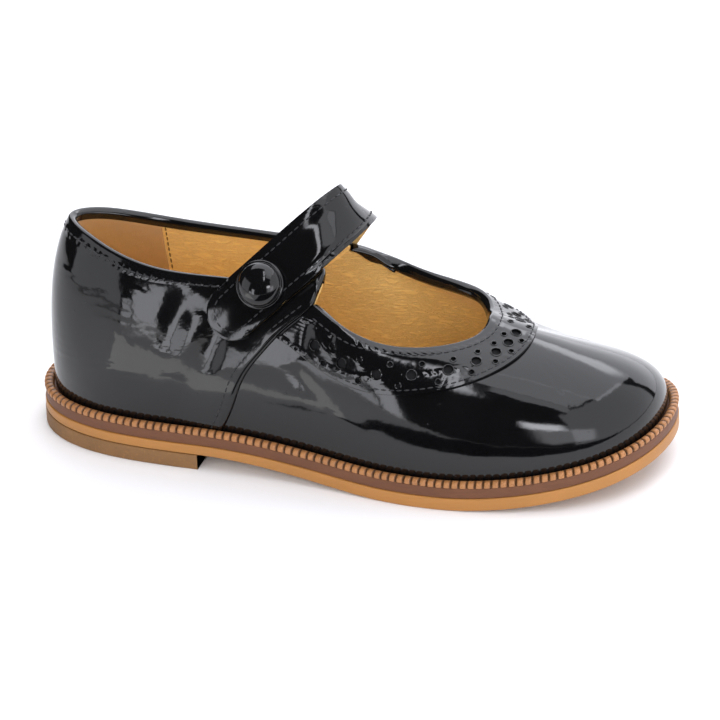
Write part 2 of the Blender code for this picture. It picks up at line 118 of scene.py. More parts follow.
# One row for each section of the upper. The section leaves the sole's feather line,
# rises by `rise` while it swells out by `bulge`, and comes to the topline from a
# handle that lies `drop` below it and `reach` of the way back to the feather line.
Section = namedtuple("Section", "angle top_x top_y top_z bulge rise reach drop")
SECTIONS = [Section(*row) for row in (
    (0, 8.9, 1.6, 61.3, 0.1, 15, 1.32, 13.5),
    (25, 17.8, -8.9, 60.3, 1.2, 11, 1.13, 13.5),
    (50, 41.5, -16.1, 55.5, 2.2, 9, 0.94, 14),
    (75, 75.6, -16.3, 54.0, 2.8, 8.5, 0.90, 13),
    (95, 92.9, -20.8, 47.2, 3.3, 8, 0.90, 11),
    (115, 106.8, -21.9, 41.8, 3.4, 8, 0.86, 7),
    (135, 121.4, -18.4, 40.8, 3.4, 9, 0.73, 4.8),
    (155, 131.1, -10.8, 41.5, 3.2, 12, 0.63, 5),
    (180, 132.6, -1.2, 42.9, 3.0, 16.4, 0.51, 7),
    (205, 130.2, 7.2, 41.1, 2.5, 14, 0.40, 12),
    (225, 123.0, 17.6, 41.2, 2.4, 11, 0.42, 13.5),
    (245, 106.4, 22.8, 42.4, 2.5, 9.5, 0.70, 10.5),
    (265, 91.8, 23.4, 47.0, 2.5, 9, 0.87, 11),
    (285, 74.0, 17.1, 53.3, 2.3, 9, 0.90, 13),
    (310, 40.5, 15.2, 56.0, 1.8, 10, 0.95, 14),
    (335, 17.2, 10.6, 59.8, 1.0, 12, 1.16, 13.5),
)]

# The quarter's front edge, which the pattern's columns follow: the angle that it
# passes at each share of the way up its section.
SEAM = 80.0  # the pattern column that becomes the seam
SEAM_SPREAD = 52.0  # degrees over which the other columns follow it
SeamPoint = namedtuple("SeamPoint", "share angle")
SEAM_LINE = [SeamPoint(*row) for row in (
    (0.00, 68.8), (0.30, 72.0), (0.50, 73.8), (0.65, 76.6),
    (0.80, 80.0), (0.90, 83.0), (1.00, 86.0),
)]
EAR_BACK = 64.0  # pattern column where the ear leaves the collar
OUTER_EAR = 0.24  # how far each ear goes on above the topline
INNER_EAR = 0.05
EAR_REACH = 45.0  # length of ear for each share of height
EAR_LEAN = 0.15  # how far it leans to the toe as it rises
EAR_CORNER = 3.5  # degrees over which the ear's front corner is rounded
EAR_ROUND = 0.35  # share of its rise that the corner loses
EAR_TUCK = 12.0  # its lean in under the strap, for each share of height

# Patent leather turned over each edge, and the lining that it meets.
SKIN = 0.6  # thickness of the patent leather
LINING_FACE = 2.0  # depth of the lining's face inside the outer face
LINING_THICK = 0.6
QUARTER_LINING_PAINTED_LIGHT = 1.25  # painted light: the quarters' lining is drawn lighter than the vamp's, for the light that falls on it at the heel
TURNED_WALL = 2.5  # thickness of the wall at its turned edge
TURNED_DOWN = 2.3  # how far the collar's edge comes down inside
THROAT_DOWN = 1.7  # the same round the throat
TURN_STEPS = 10
TURN_HEIGHT = 0.6  # how high a turned edge is for half its thickness
FLAP_SHORTENED = 0.9  # share that the turned-down flap loses at its ends
FLAP_FADE = 9.0  # degrees over which the trim's flap grows from its ends
QUARTER_COLUMNS = 190
EAR_COLUMNS = 10
VAMP_COLUMNS = 240
VAMP_TOP = 0.994  # the vamp ends just under the trim's turned edge
LINING_COLUMNS = 300
LINING_FOOT = 0.03  # shares of height between which the linings lie
LINING_TOP = 0.985
UP_ROWS = 84  # rows up the outer face
DOWN_ROWS = 4  # and down inside
SUEDE_THICK = 0.45
SUEDE_ROUNDING = 0.18
SUEDE_FOOT = 59.0  # pattern column of the suede's edge at the sole
SUEDE_TOP = 41.5  # and at the topline
VAMP_TUCK = 4.0  # degrees of vamp that lie under each quarter
# The quarter's front edge rolls down to the vamp: degrees past the seam, and the share
# of the lap that it has lost there.
EdgeRoll = namedtuple("EdgeRoll", "past drop")
EDGE_ROLLS = [EdgeRoll(*row) for row in (
    (-0.60, 0.00), (-0.20, 0.06), (0.10, 0.22), (0.28, 0.48), (0.36, 0.86),
)]

# ---- stitches ----
STITCH_PITCH = 2.2
STITCH_SHARE = 0.8  # share of its pitch that a stitch fills
STITCH_WIDTH = 0.5
STITCH_RISE = 0.5  # its rise over the leather, as a share of its width
STITCH_ROW = 2.6  # distance of the rows from the collar's and trim's edges
TRIM_ROW_DEPTH = 11.8  # depth of the trim's lower row
SEAM_ROW = 1.9  # degrees from the seam back to the quarter's row
STRAP_ROW = 2.3  # distance of the strap's row from its edge
COLLAR_ROW_END = 4  # degrees between the collar's row and each ear
TRIM_ROW_END = 2.4  # degrees between the trim's ends and its rows
COUNTER_ROW = 0.9  # degrees from the suede's edge to its row
SEAM_ROW_ENDS = (0.06, 0.97)  # shares of height
COUNTER_ROW_ENDS = (0.25, 0.95)
# Points at which each row's line is worked out.
COLLAR_ROW_POINTS = 49
SEAM_ROW_POINTS = 60
TRIM_ROW_POINTS = 61
COUNTER_ROW_POINTS = 40

# Soft folds in the leather. Each runs between two places on the pattern, and is a
# trough where its depth is below zero and a ridge where it is above.
Crease = namedtuple("Crease", "column share to_column to_share width depth")
CREASES = [Crease(*row) for row in (
    (32, 0.96, 43, 0.36, 5.5, -0.30),
    (44, 0.90, 50, 0.30, 5.0, 0.26),
    (56, 0.92, 61, 0.55, 3.6, -0.34),
    (63, 0.80, 66, 0.40, 3.4, 0.30),
    (69, 0.72, 73, 0.46, 2.4, -0.32),
    (20, 0.80, 24, 0.30, 7.0, 0.22),
    (82, 0.92, 88, 0.66, 1.8, -0.24),
    (84, 0.90, 94, 0.76, 1.5, 0.16),
    (88, 0.97, 93, 0.80, 1.5, -0.18),
    (91, 0.86, 102, 0.80, 1.4, 0.14),
    (86, 0.62, 98, 0.40, 2.4, -0.30),
    (90, 0.52, 104, 0.34, 2.6, 0.22),
    (118, 0.70, 132, 0.46, 5.0, -0.22),
    (150, 0.62, 205, 0.62, 9.0, -0.20),
    (268, 0.74, 262, 0.50, 2.6, -0.20),
    (276, 0.74, 270, 0.52, 2.4, 0.14),
    (300, 0.88, 294, 0.45, 4.5, -0.28),
    (318, 0.90, 312, 0.35, 5.0, 0.24),
    (335, 0.85, 338, 0.30, 6.0, -0.20),
)]
CREASE_STEPS = 13
CREASE_FADE = 0.6  # power that shapes how a crease fades at its ends

# ---- strap ----
STRAP_WIDTH = 15.0
STRAP_THICK = 2.0
STRAP_LINING = 0.5  # from the strap's underside to its patent leather
STRAP_LINING_SHARE = 0.9  # share of that which the lining fills
STRAP_LINING_INSET = 0.5  # from the strap's edge to its lining's
STRAP_CROWN = 0.35  # how far its edges lie below its middle
STRAP_ROUNDING = 0.55  # and how far they are rounded
STRAP_LINES = 24  # lengthwise lines across its width
# Where the strap lies on each side, seen from the side: the centre of its round end,
# its slope, the length that rests on the upper, and the pull of its arch along its
# rear and its front edge.
StrapEnd = namedtuple("StrapEnd", "seam x z slope rests rear_pull front_pull")
OUTER_END = StrapEnd(SEAM, 63.7, 47.2, 42.6, 16.0, 45.5, 30.0)
INNER_END = StrapEnd(360 - SEAM, 69.9, 37.6, 56.0, 17.5, 14.0, 22.0)
LAP_STATIONS = 20  # steps along each resting end
ARCH_STATIONS = 40  # and along the arch between them
SEAT_ROUNDS = 12  # rounds that find where the strap touches the upper
SEAT_GAP = 0.3  # air under the strap
STRAP_ROUNDS = 14  # rounds of evening along the arch
EVENED_FROM = 0.4  # share of a resting end that the evening leaves alone

# ---- button ----
BUTTON_FROM_END = 10.5  # from the centre of the strap's round end
BUTTON_CLEAR = 0.9  # from the strap's face to the button's underside
BUTTON_SIDES = 72
# The button's profile: radius and height, from its underside to the top of its dome.
ButtonRing = namedtuple("ButtonRing", "radius height")
BUTTON_RINGS = [ButtonRing(*row) for row in (
    (0.0, 0.0), (5.6, 0.0), (6.5, 0.12), (6.86, 0.45), (6.9, 0.8), (6.78, 1.12),
    (6.5, 1.28), (6.28, 1.30), (6.16, 1.45), (6.05, 1.9), (5.7, 2.55), (5.1, 3.2),
    (4.2, 3.78), (3.1, 4.2), (1.9, 4.48), (0.8, 4.59), (0.0, 4.6),
)]

# ---- perforated trim round the throat ----
TRIM_WIDTH = 13.0
TRIM_FACE = 1.05  # its outer face above the vamp
TRIM_THICK = 0.75
TRIM_ROUNDING = 0.14
TRIM_LEAD = 0.5  # pattern degrees between the seam and the trim's end
TRIM_LOWEST = 0.4  # share of height above which the trim stays
TRIM_STEPS = 61  # steps that measure the way down from the topline
TRIM_MEASURES = 61  # pattern columns where its lower edge is measured
TRIM_COLUMNS = 300
SHADE_SHEET_FACE = 0.24  # face of the black sheet of painted shade under the holes, above the vamp
SHADE_SHEET_SHARE = 0.6  # share of that height that the sheet fills
SHADE_SHEET_INSET = 1  # degrees inside the trim's ends, millimetres inside its lower edge
SHADE_SHEET_TOP = 0.97  # share of height where it ends under the topline
SHADE_SHEET_ROWS = 24
BIG_HOLE = 1.5  # radius
SMALL_HOLE = 0.85  # radius
BIG_HOLE_DEPTH = 8.0  # distance from the topline
SMALL_HOLE_DEPTHS = (5.3, 10.6)
BIG_HOLE_COLUMNS = (88.5, 96, 105, 115, 127.5, 139, 149.5, 159, 169)
HOLE_SIDES = 28
CUTTER_REACH = 2.0
HOLE_LIP = 0.2  # radius of the rolled lip round each hole

# ---- insole ----
INSOLE = 2.0
INSOLE_CLEAR = 0.5  # between the insole's edge and the upper's inner face

# ---- stage, in metres and degrees ----
FLOOR_SIZE = 5.6
ROOM = 0.03  # brightness of the studio round the soft boxes
# Soft boxes: their middle, the point that they face, their sizes, their radiance, the
# share of each over which its light fades at the rim, and whether the patent mirrors it.
SoftBox = namedtuple("SoftBox", "name x y z aim_x aim_y aim_z width height radiance rim mirrored")
SOFT_BOXES = [
    SoftBox("overhead_box", 0.0, 1.25, 1.70, 0.0, 1.25, 0.0, 2.8, 2.6, 2.5, 0.02, True),
    SoftBox("overhead_front", 0.66, -0.40, 1.69, 0.66, -0.40, 0.0, 1.10, 0.80, 2.5, 0.03, True),
    SoftBox("overhead_lip", 0.80, -0.98, 1.69, 0.80, -0.98, 0.0, 0.95, 0.40, 1.9, 0.05, True),
    SoftBox("back_box", 0.0, 2.60, 0.90, 0.0, 0.0, 0.90, 3.8, 1.80, 2.2, 0.02, True),
    SoftBox("back_lamp", 0.40, 1.48, 1.29, 0.0, 0.0, 0.0, 1.15, 0.5, 3.5, 0.30, True),
    SoftBox("right_card", 1.60, -0.15, 1.10, 0.0, -0.15, 1.1, 3.9, 2.2, 1.5, 0.03, True),
    SoftBox("streak_lamp", 0.11, -0.75, 1.40, 0.0, 0.0, 0.05, 0.15, 1.2, 7.0, 0.20, True),
    SoftBox("right_lamp", 0.62, -1.18, 0.62, 0.0, 0.0, 0.03, 0.55, 0.26, 10.0, 0.35, True),
    SoftBox("right_glow", 0.95, -1.15, 0.38, 0.0, 0.0, 0.03, 1.10, 0.60, 2.2, 0.20, True),
    SoftBox("left_box", -0.55, -1.265, 0.20, 0.0, 0.0, 0.03, 0.20, 0.42, 4.4, 0.08, True),
    SoftBox("left_low_box", -0.742, -1.187, 0.105, 0.0, 0.0, 0.105, 0.20, 0.19, 3.6, 0.10, True),
    SoftBox("left_card", -1.30, -0.90, 0.45, 0.0, 0.0, 0.03, 1.1, 0.9, 1.3, 0.05, True),
    SoftBox("front_fill", -0.3, -2.2, 1.3, 0.0, 0.0, 0.03, 2.6, 1.8, 2.6, 0.10, False),
]
BOX_COLOR = (0.93, 0.94, 1.0)
FILL_COLOR = (1.0, 0.98, 0.95)
# Cards that lie on the floor, and that only the patent leather mirrors.
CARD_HEIGHT = 0.002
Card = namedtuple("Card", "name x y turn width length glow")
CARDS = [
    Card("black_card", 0.75, -0.79, 0, 1.60, 1.40, 0.0),
    Card("left_reflector", -0.20, -0.23, -40, 0.085, 0.34, 2.6),
]

# ---- camera, in millimetres and degrees ----
TARGET = (91.5, 0.0, 25.0)
DISTANCE = 2567.7
AZIMUTH = 18.19
ELEVATION = 27.01
ROLL = -2.63
LENS = 458.5
SENSOR = 36
SHIFT = 0.0082
SIGHT = 20  # metres that the camera sees


# ---- curves and tables ----

@lru_cache(maxsize=None)
def spline_bends(knots, values):
    """Second derivatives of the natural cubic spline through the knots."""
    count = len(knots)
    step = np.diff(knots)
    system = np.eye(count)
    right = np.zeros(count)
    for i in range(1, count - 1):
        system[i, i - 1] = step[i - 1]
        system[i, i] = 2 * (step[i - 1] + step[i])
        system[i, i + 1] = step[i]
        slope_after = (values[i + 1] - values[i]) / step[i]
        slope_before = (values[i] - values[i - 1]) / step[i - 1]
        right[i] = 6 * (slope_after - slope_before)
    return np.linalg.solve(system, right)


def spline(knots, values, at):
    """Natural cubic spline through the knots, read at an array of places."""
    bend = spline_bends(tuple(knots), tuple(values))
    knots = np.asarray(knots, float)
    values = np.asarray(values, float)
    i = np.clip(np.searchsorted(knots, at) - 1, 0, len(knots) - 2)
    after = at - knots[i]
    before = knots[i + 1] - at
    width = knots[i + 1] - knots[i]
    cubic = (bend[i] * before ** 3 + bend[i + 1] * after ** 3) / (6 * width)
    linear = (values[i] / width - bend[i] * width / 6) * before
    return cubic + linear + (values[i + 1] / width - bend[i + 1] * width / 6) * after


def table(rows, key, column, at):
    """Column of a table of named rows, read smoothly along its key."""
    return spline([getattr(r, key) for r in rows], [getattr(r, column) for r in rows], at)


def round_table(rows, column, angle):
    """Column of a table that goes once round the shoe, read at any angle."""
    knots = [r.angle + turn for turn in (-360, 0, 360) for r in rows]
    values = [getattr(r, column) for r in rows] * 3
    return spline(knots, values, np.mod(angle, 360))


def smoothstep(value):
    """Eased step from 0 to 1."""
    value = np.clip(value, 0, 1)
    return value * value * (3 - 2 * value)


def unit(vectors):
    return vectors / np.linalg.norm(vectors, axis=-1, keepdims=True)


def walk(points):
    """Distance walked along lines of points, along the first axis."""
    steps = np.linalg.norm(np.diff(points, axis=0), axis=-1)
    return np.concatenate([np.zeros((1,) + steps.shape[1:]), np.cumsum(steps, axis=0)])


# ---- the sole's outline and heights ----

def outline(angle):
    """Edge of the sole seen from above."""
    turn = np.cos(np.radians(angle))
    share = (1 - turn) / 2
    spread = np.sqrt(np.maximum(0, 1 - np.abs(turn) ** END_FULLNESS))
    side = np.where(np.mod(angle, 360) <= 180, -1.0, 1.0)
    half = table(SOLE_PLAN, "share", "half_width", share)
    middle = table(SOLE_PLAN, "share", "middle", share)
    return np.stack([LENGTH * share, middle + side * half * spread], -1)


def outward(angle):
    """Horizontal direction that points out of the outline."""
    angle = np.asarray(angle, float)
    along = outline(angle + ANGLE_NUDGE) - outline(angle - ANGLE_NUDGE)
    normal = np.stack([along[..., 1], -along[..., 0]], -1)
    return unit(normal)


def inset_outline(angle, inset):
    return outline(angle) - outward(angle) * inset


def tread(x):
    """Height of the outsole's underside: over the heel lift, arch, ball and toe."""
    arch = smoothstep((BALL_START - x) / (BALL_START - BREAST))
    toe = np.clip((x - BALL_END) / (LENGTH - BALL_END), 0, 1)
    return HEEL_LIFT * arch + TOE_SPRING * toe ** SPRING_POWER


def outsole_top(x):
    grow = smoothstep((x - BREAST) / (BALL_START - BREAST))
    return tread(x) + OUTSOLE_HEEL + (OUTSOLE_BALL - OUTSOLE_HEEL) * grow


def midsole_top(x):
    return outsole_top(x) + MIDSOLE


@lru_cache(maxsize=None)
def outline_middle():
    edge = outline(np.arange(0, 360, 0.5))
    return tuple((edge.max(axis=0) + edge.min(axis=0)) / 2)


def placed(points):
    """Points in metres, with the middle of the sole's outline over the origin."""
    return (np.asarray(points, float) - np.append(outline_middle(), 0)) * MM


def even_angles(count, last):
    """Angles from 0 to `last` that step evenly along the outline."""
    fine = np.arange(0, last + ANGLE_NUDGE, ANGLE_NUDGE)
    walked = walk(outline(fine))
    return np.interp(np.linspace(0, walked[-1], count), walked, fine)


# ---- the upper's surface ----

def section(angle, share):
    """Outer face of the upper from the sole, at share 0, to the topline, at share 1."""
    angle, share = np.broadcast_arrays(np.asarray(angle, float), np.asarray(share, float))
    foot = inset_outline(angle, FEATHER)
    out = outward(angle)
    row = {c: round_table(SECTIONS, c, angle) for c in Section._fields[1:]}
    top = np.stack([row["top_x"], row["top_y"], row["top_z"]], -1)
    start = np.concatenate([foot, midsole_top(foot[..., :1])], -1)
    first = start.copy()
    first[..., :2] += out * row["bulge"][..., None]
    first[..., 2] += row["rise"]
    second = top.copy()
    second[..., :2] += (foot - top[..., :2]) * row["reach"][..., None]
    second[..., 2] -= row["drop"]
    t = share[..., None]
    s = 1 - t
    return s ** 3 * start + 3 * s * s * t * first + 3 * s * t * t * second + t ** 3 * top


def upper_surface(angle, share):
    """Outer face of the upper, which runs straight on above the topline for the ears."""
    share = np.asarray(share, float)
    across = section(angle + ANGLE_NUDGE, 1) - section(angle - ANGLE_NUDGE, 1)
    normal = unit(np.cross(across, section(angle, 1) - section(angle, 1 - SHARE_NUDGE)))
    lean = np.array([EAR_LEAN, 0, 1])
    upright = unit(lean - normal * (normal @ lean)[..., None])
    above = np.maximum(share - 1, 0)[..., None] * EAR_REACH
    return section(angle, np.minimum(share, 1)) + above * upright


def upper_normal(angle, share):
    """Unit direction out of the upper's outer face."""
    low = np.maximum(share - SHARE_NUDGE, 0)
    across = upper_surface(angle + ANGLE_NUDGE, share) - upper_surface(angle - ANGLE_NUDGE, share)
    up = upper_surface(angle, share + SHARE_NUDGE) - upper_surface(angle, low)
    return unit(np.cross(across, up))


def pattern_angle(column, share):
    """Angle of a pattern column at a share of its height; both seams stay columns."""
    column = np.mod(column, 360)
    shift = table(SEAM_LINE, "share", "angle", np.minimum(share, 1)) - SEAM
    near_outer = np.clip(1 - np.abs(column - SEAM) / SEAM_SPREAD, 0, 1)
    near_inner = np.clip(1 - np.abs(column - (360 - SEAM)) / SEAM_SPREAD, 0, 1)
    return column + shift * (smoothstep(near_outer) - smoothstep(near_inner))


def on_upper(column, share, lift=0):
    """Point of the pattern, `lift` outside the upper's outer face, without creases."""
    angle = pattern_angle(column, share)
    return upper_surface(angle, share) + upper_normal(angle, share) * np.asarray(lift)[..., None]


def behind_seam(column):
    """Pattern degrees from the nearer seam back towards the heel."""
    return np.abs(180 - np.mod(column, 360)) - (180 - SEAM)


def quarter_lap(column, share=1.0):
    """Height of the quarter, or of what lies level with it, over the vamp."""
    fade = 1 - smoothstep(behind_seam(column) / LAP_FADE)
    return LAP * fade * smoothstep(share / LAP_SINK)


@lru_cache(maxsize=None)
def crease_lines():
    """Points in millimetres down the middle of each crease."""
    step = np.linspace(0, 1, CREASE_STEPS)
    columns = np.stack([c.column + (c.to_column - c.column) * step for c in CREASES])
    shares = np.stack([c.share + (c.to_share - c.share) * step for c in CREASES])
    return on_upper(columns, shares)


def crease_lift(points):
    """How far the creases raise the leather at points in millimetres."""
    lift = np.zeros(points.shape[:-1])
    fade = np.sin(np.linspace(0, math.pi, CREASE_STEPS)) ** CREASE_FADE
    for crease, line in zip(CREASES, crease_lines()):
        apart = np.linalg.norm(points[..., None, :] - line, axis=-1)
        nearest = apart.argmin(axis=-1)
        bell = np.exp(-(apart.min(axis=-1) / crease.width) ** 2)
        lift += crease.depth * fade[nearest] * bell
    return lift


def leather(column, share, lift=0):
    """Points of the upper's leather, `lift` outside its outer face, and their normals."""
    given = (np.asarray(values, float) for values in (column, share, lift))
    column, share, lift = np.broadcast_arrays(*given)
    angle = pattern_angle(column, share)
    base = upper_surface(angle, share)
    normal = upper_normal(angle, share)
    return base + normal * (lift + crease_lift(base))[..., None], normal


@lru_cache(maxsize=None)
def topline():
    return on_upper(np.arange(0, 360.0), np.ones(360))


def share_below(column, depth):
    """Share of height at which a pattern column lies `depth` from the topline."""
    shares = np.linspace(1, TRIM_LOWEST, TRIM_STEPS)
    line = on_upper(np.full(TRIM_STEPS, float(column)), shares)
    apart = np.linalg.norm(line[:, None] - topline()[None], axis=-1).min(axis=1)
    return np.interp(depth, apart, shares)


# ---- making pieces ----

def pick(piece):
    """Make the piece the one that operators act on."""
    bpy.ops.object.select_all(action="DESELECT")
    piece.select_set(True)
    bpy.context.view_layer.objects.active = piece


def apply_modifiers(piece):
    pick(piece)
    for modifier in list(piece.modifiers):
        bpy.ops.object.modifier_apply(modifier=modifier.name)


def sheet(name, columns, rows, place, width=None):
    """Grid primitive laid on a surface. place(u, v) gives its points in millimetres. Its
    UV map measures millimetres along its top line, or even steps of a given width, and
    down from that line."""
    bpy.ops.object.select_all(action="DESELECT")
    bpy.ops.mesh.primitive_grid_add(x_subdivisions=columns, y_subdivisions=rows, size=2)
    piece = bpy.context.object
    piece.name = name
    mesh = piece.data
    flat = np.empty(len(mesh.vertices) * 3)
    mesh.vertices.foreach_get("co", flat)
    flat = flat.reshape(-1, 3)
    wide = len(np.unique(flat[:, 0].round(6)))
    high = len(np.unique(flat[:, 1].round(6)))
    i = np.rint((flat[:, 0] + 1) / 2 * (wide - 1)).astype(int)
    j = np.rint((flat[:, 1] + 1) / 2 * (high - 1)).astype(int)
    u, v = np.meshgrid(np.linspace(0, 1, wide), np.linspace(0, 1, high), indexing="ij")
    points = place(u, v)
    mesh.vertices.foreach_set("co", placed(points)[i, j].ravel())
    along = walk(points[:, -1:])[:, 0] if width is None else np.linspace(0, width, wide)
    down = walk(points[:, ::-1].swapaxes(0, 1))[::-1]
    corner = np.empty(len(mesh.loops), int)
    mesh.loops.foreach_get("vertex_index", corner)
    spot = np.stack([along[i], down[j, i]], -1)[corner]
    mesh.uv_layers.active.data.foreach_set("uv", spot.ravel())
    mesh.update()
    return piece


def close_seams(piece):
    """Join a sheet's edges where they meet and turn its faces outwards."""
    pick(piece)
    bpy.ops.object.mode_set(mode="EDIT")
    bpy.ops.mesh.select_all(action="SELECT")
    bpy.ops.mesh.remove_doubles(threshold=WELD)
    bpy.ops.mesh.normals_make_consistent(inside=False)
    bpy.ops.object.mode_set(mode="OBJECT")


def thicken(piece, thickness, rounding=0.0, segments=3):
    """Give a sheet its thickness, inwards from its face, and round its edges."""
    wall = piece.modifiers.new("thickness", "SOLIDIFY")
    wall.thickness = thickness * MM
    wall.offset = -1
    if rounding:
        bevel = piece.modifiers.new("edges", "BEVEL")
        bevel.width = rounding * MM
        bevel.segments = segments
        bevel.limit_method = "ANGLE"
        bevel.angle_limit = math.radians(BEVEL_ANGLE)
        bevel.harden_normals = False
    apply_modifiers(piece)


def finish(piece, material, replaced=()):
    """Smooth a piece, give it its material and fix it to the shoe."""
    pick(piece)
    bpy.ops.object.shade_smooth_by_angle(angle=math.radians(SMOOTH_ANGLE))
    piece.data.materials.clear()
    piece.data.materials.append(material)
    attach(piece, BODY)
    if replaced:
        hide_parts(*replaced)
    return piece


def repeat(name, template, places):
    """One piece from copies of a template, each moved by a matrix."""
    copies = []
    for place in places:
        copy = template.copy()
        copy.data = template.data.copy()
        copy.data.transform(place)
        bpy.context.collection.objects.link(copy)
        copies.append(copy)
    bpy.data.objects.remove(template)
    bpy.ops.object.select_all(action="DESELECT")
    for copy in copies:
        copy.select_set(True)
    bpy.context.view_layer.objects.active = copies[0]
    bpy.ops.object.join()
    copies[0].name = name
    return copies[0]


# ---- shader maths ----

class Value:
    """Output socket whose arithmetic adds Math nodes."""

    def __init__(self, maker, socket):
        self.maker = maker
        self.socket = socket

    def __add__(self, other):
        return self.maker.maths("ADD", self, other)

    def __sub__(self, other):
        return self.maker.maths("SUBTRACT", self, other)

    def __mul__(self, other):
        return self.maker.maths("MULTIPLY", self, other)

    def __rsub__(self, other):
        return self.maker.maths("SUBTRACT", other, self)

    __radd__ = __add__
    __rmul__ = __mul__

    def size(self):
        return self.maker.maths("ABSOLUTE", self)

    def sine(self):
        return self.maker.maths("SINE", self)

    def step(self, low, high):
        """Eased step from 0 at `low` to 1 at `high`."""
        settings = {"interpolation_type": "SMOOTHSTEP"}
        ends = {"From Min": low, "From Max": high}
        return self.maker.node("ShaderNodeMapRange", settings, Value=self, **ends)


class Nodes:
    """Node tree of a material, a lamp or the world, to which nodes are added."""

    def __init__(self, owner):
        owner.use_nodes = True
        self.tree = owner.node_tree

    def feed(self, socket, value):
        if isinstance(value, Value):
            self.tree.links.new(value.socket, socket)
        elif socket.type == "RGBA" and len(value) == 3:
            socket.default_value = (*value, 1)
        else:
            socket.default_value = value

    def node(self, kind, settings=None, *values, output=0, **inputs):
        """Add a node: its settings first, then values or links of its sockets."""
        made = self.tree.nodes.new(kind)
        for key, value in (settings or {}).items():
            setattr(made, key, value)
        for socket, value in zip(made.inputs, values):
            self.feed(socket, value)
        for key, value in inputs.items():
            self.feed(made.inputs[key], value)
        return Value(self, made.outputs[output])

    def maths(self, operation, *values):
        return self.node("ShaderNodeMath", {"operation": operation}, *values)

    def mix(self, share, first, second):
        """Colour between two colours."""
        factor, first_color, second_color, mixed = 0, 6, 7, 2
        made = self.tree.nodes.new("ShaderNodeMix")
        made.data_type = "RGBA"
        self.feed(made.inputs[factor], share)
        self.feed(made.inputs[first_color], first)
        self.feed(made.inputs[second_color], second)
        return Value(self, made.outputs[mixed])

    def part(self, vector, name):
        """One part, X, Y or Z, of a vector."""
        return self.node("ShaderNodeSeparateXYZ", None, vector, output=name)


class Finish(Nodes):
    """Material being made, with its Principled shader and its place in metres."""

    def __init__(self, name):
        self.material = bpy.data.materials.new(name)
        super().__init__(self.material)
        self.shader = self.tree.nodes["Principled BSDF"]
        self.place = self.node("ShaderNodeTexCoord", output="Object")

    def noise(self, size, detail=2.0, rough=0.5, place=None):
        """Noise whose lumps are about `size` millimetres across, from 0 to 1."""
        inputs = {"Vector": place or self.place, "Scale": 1 / (size * MM), "Detail": detail}
        return self.node("ShaderNodeTexNoise", None, Roughness=rough, **inputs)

    def stretched(self, scale, turn=(0.0, 0.0, 0.0)):
        """Object coordinates turned and scaled, for patterns that run one way."""
        inputs = {"Vector": self.place, "Rotation": turn, "Scale": scale}
        return self.node("ShaderNodeMapping", None, **inputs)

    def pattern(self, name):
        """Millimetres along (X) or down (Y) the piece's own UV map."""
        return self.part(self.node("ShaderNodeUVMap", {"uv_map": "UVMap"}), name)

    def done(self, color, roughness, height=None, **constants):
        """Wire the shader. `height` is in millimetres."""
        self.feed(self.shader.inputs["Base Color"], color)
        self.feed(self.shader.inputs["Roughness"], roughness)
        for key, value in constants.items():
            self.feed(self.shader.inputs[key.replace("_", " ")], value)
        if height is not None:
            normal = self.node("ShaderNodeBump", None, Height=height, Distance=MM, Strength=1.0)
            self.feed(self.shader.inputs["Normal"], normal)
        return self.material


def material(name, make):
    """Material by name, made the first time that it is asked for."""
    return bpy.data.materials.get(name) or make(name)


def tint(name, share=1.0):
    """Chosen colour of a finish, or a darker or lighter shade of it."""
    return tuple(channel * share for channel in getattr(bpy.context.scene.shoe_colours, name))


def chosen(name):
    """Chosen size of a small part, in millimetres."""
    return getattr(bpy.context.scene.shoe_sizes, name) / MM


def patent(name, waves, puckers=0.0, rows=(), place="Y", along="X"):
    """Black patent leather: a mirror with slow waves, fine grain and a few specks. It is
    puckered along rows of stitches, which lie at given millimetres on its UV map."""
    f = Finish(name)
    slow = f.noise(15, 1.0)
    soft = f.noise(5.5, 2.0)
    fine = f.noise(0.9, 2.0)
    speck = f.noise(1.7, 0.0).step(0.83, 0.87)
    height = slow * (0.42 * waves) + soft * (0.085 * waves) + fine * 0.005 + speck * 0.03
    if rows:
        at = f.pattern(place)
        near = 0.0
        for row in rows:
            near = near + (1.0 - (at - row).size().step(0.2, 1.6))
        turns = f.pattern(along) * (2 * math.pi / chosen("stitch_pitch"))
        ripple = (turns + f.noise(6) * 5.0).sine()
        height = height + (ripple + f.noise(1.8, 1.0) * 5.0) * near * puckers
    smudge = f.noise(22, 3.0, 0.6)
    tone = f.mix(smudge, tint("patent", 0.5), tint("patent", 1.3))
    return f.done(tone, smudge * 0.08 + 0.035, height)


def lining_leather(name, share=1.0):
    """Smooth tan leather with fine wrinkles and pores, and painted shade darkening the wrinkles'
    troughs.
    """
    f = Finish(name)
    cloud = f.noise(14, 3.0, 0.55)
    grain = f.noise(0.55, 3.0, 0.6)
    pull = f.noise(3.4, 4.0, 0.66, f.stretched((0.8, 0.8, 3.2), (0.0, 0.35, 0.0)))
    wrinkle_and_shade = (pull - 0.5).size()
    tone = f.mix(cloud, tint("lining", 0.86 * share), tint("lining", 1.06 * share))
    # painted shade: the troughs of the wrinkles are mixed towards a darker tan
    tone = f.mix(wrinkle_and_shade.step(0.0, 0.05) * 0.3 + 0.7, tint("lining", 0.5 * share), tone)
    height = wrinkle_and_shade.step(0.0, 0.11) * 0.16 + grain * 0.04 + cloud * 0.5
    return f.done(tone, grain * 0.2 + 0.42, height, Sheen_Weight=0.15)


def suede(name):
    """Brushed tan suede with a darker nap."""
    f = Finish(name)
    nap = f.noise(0.35, 3.0, 0.7)
    brushed = f.noise(3.2, 4.0, 0.65)
    cloud = f.noise(11, 2.0)
    tone = f.mix((brushed + cloud) * 0.5, tint("suede", 0.68), tint("suede", 1.16))
    tone = f.mix(nap * 0.35, tone, tint("suede", 1.4))
    return f.done(tone, nap * 0.1 + 0.86, nap * 0.10 + brushed * 0.16, Sheen_Weight=0.5)


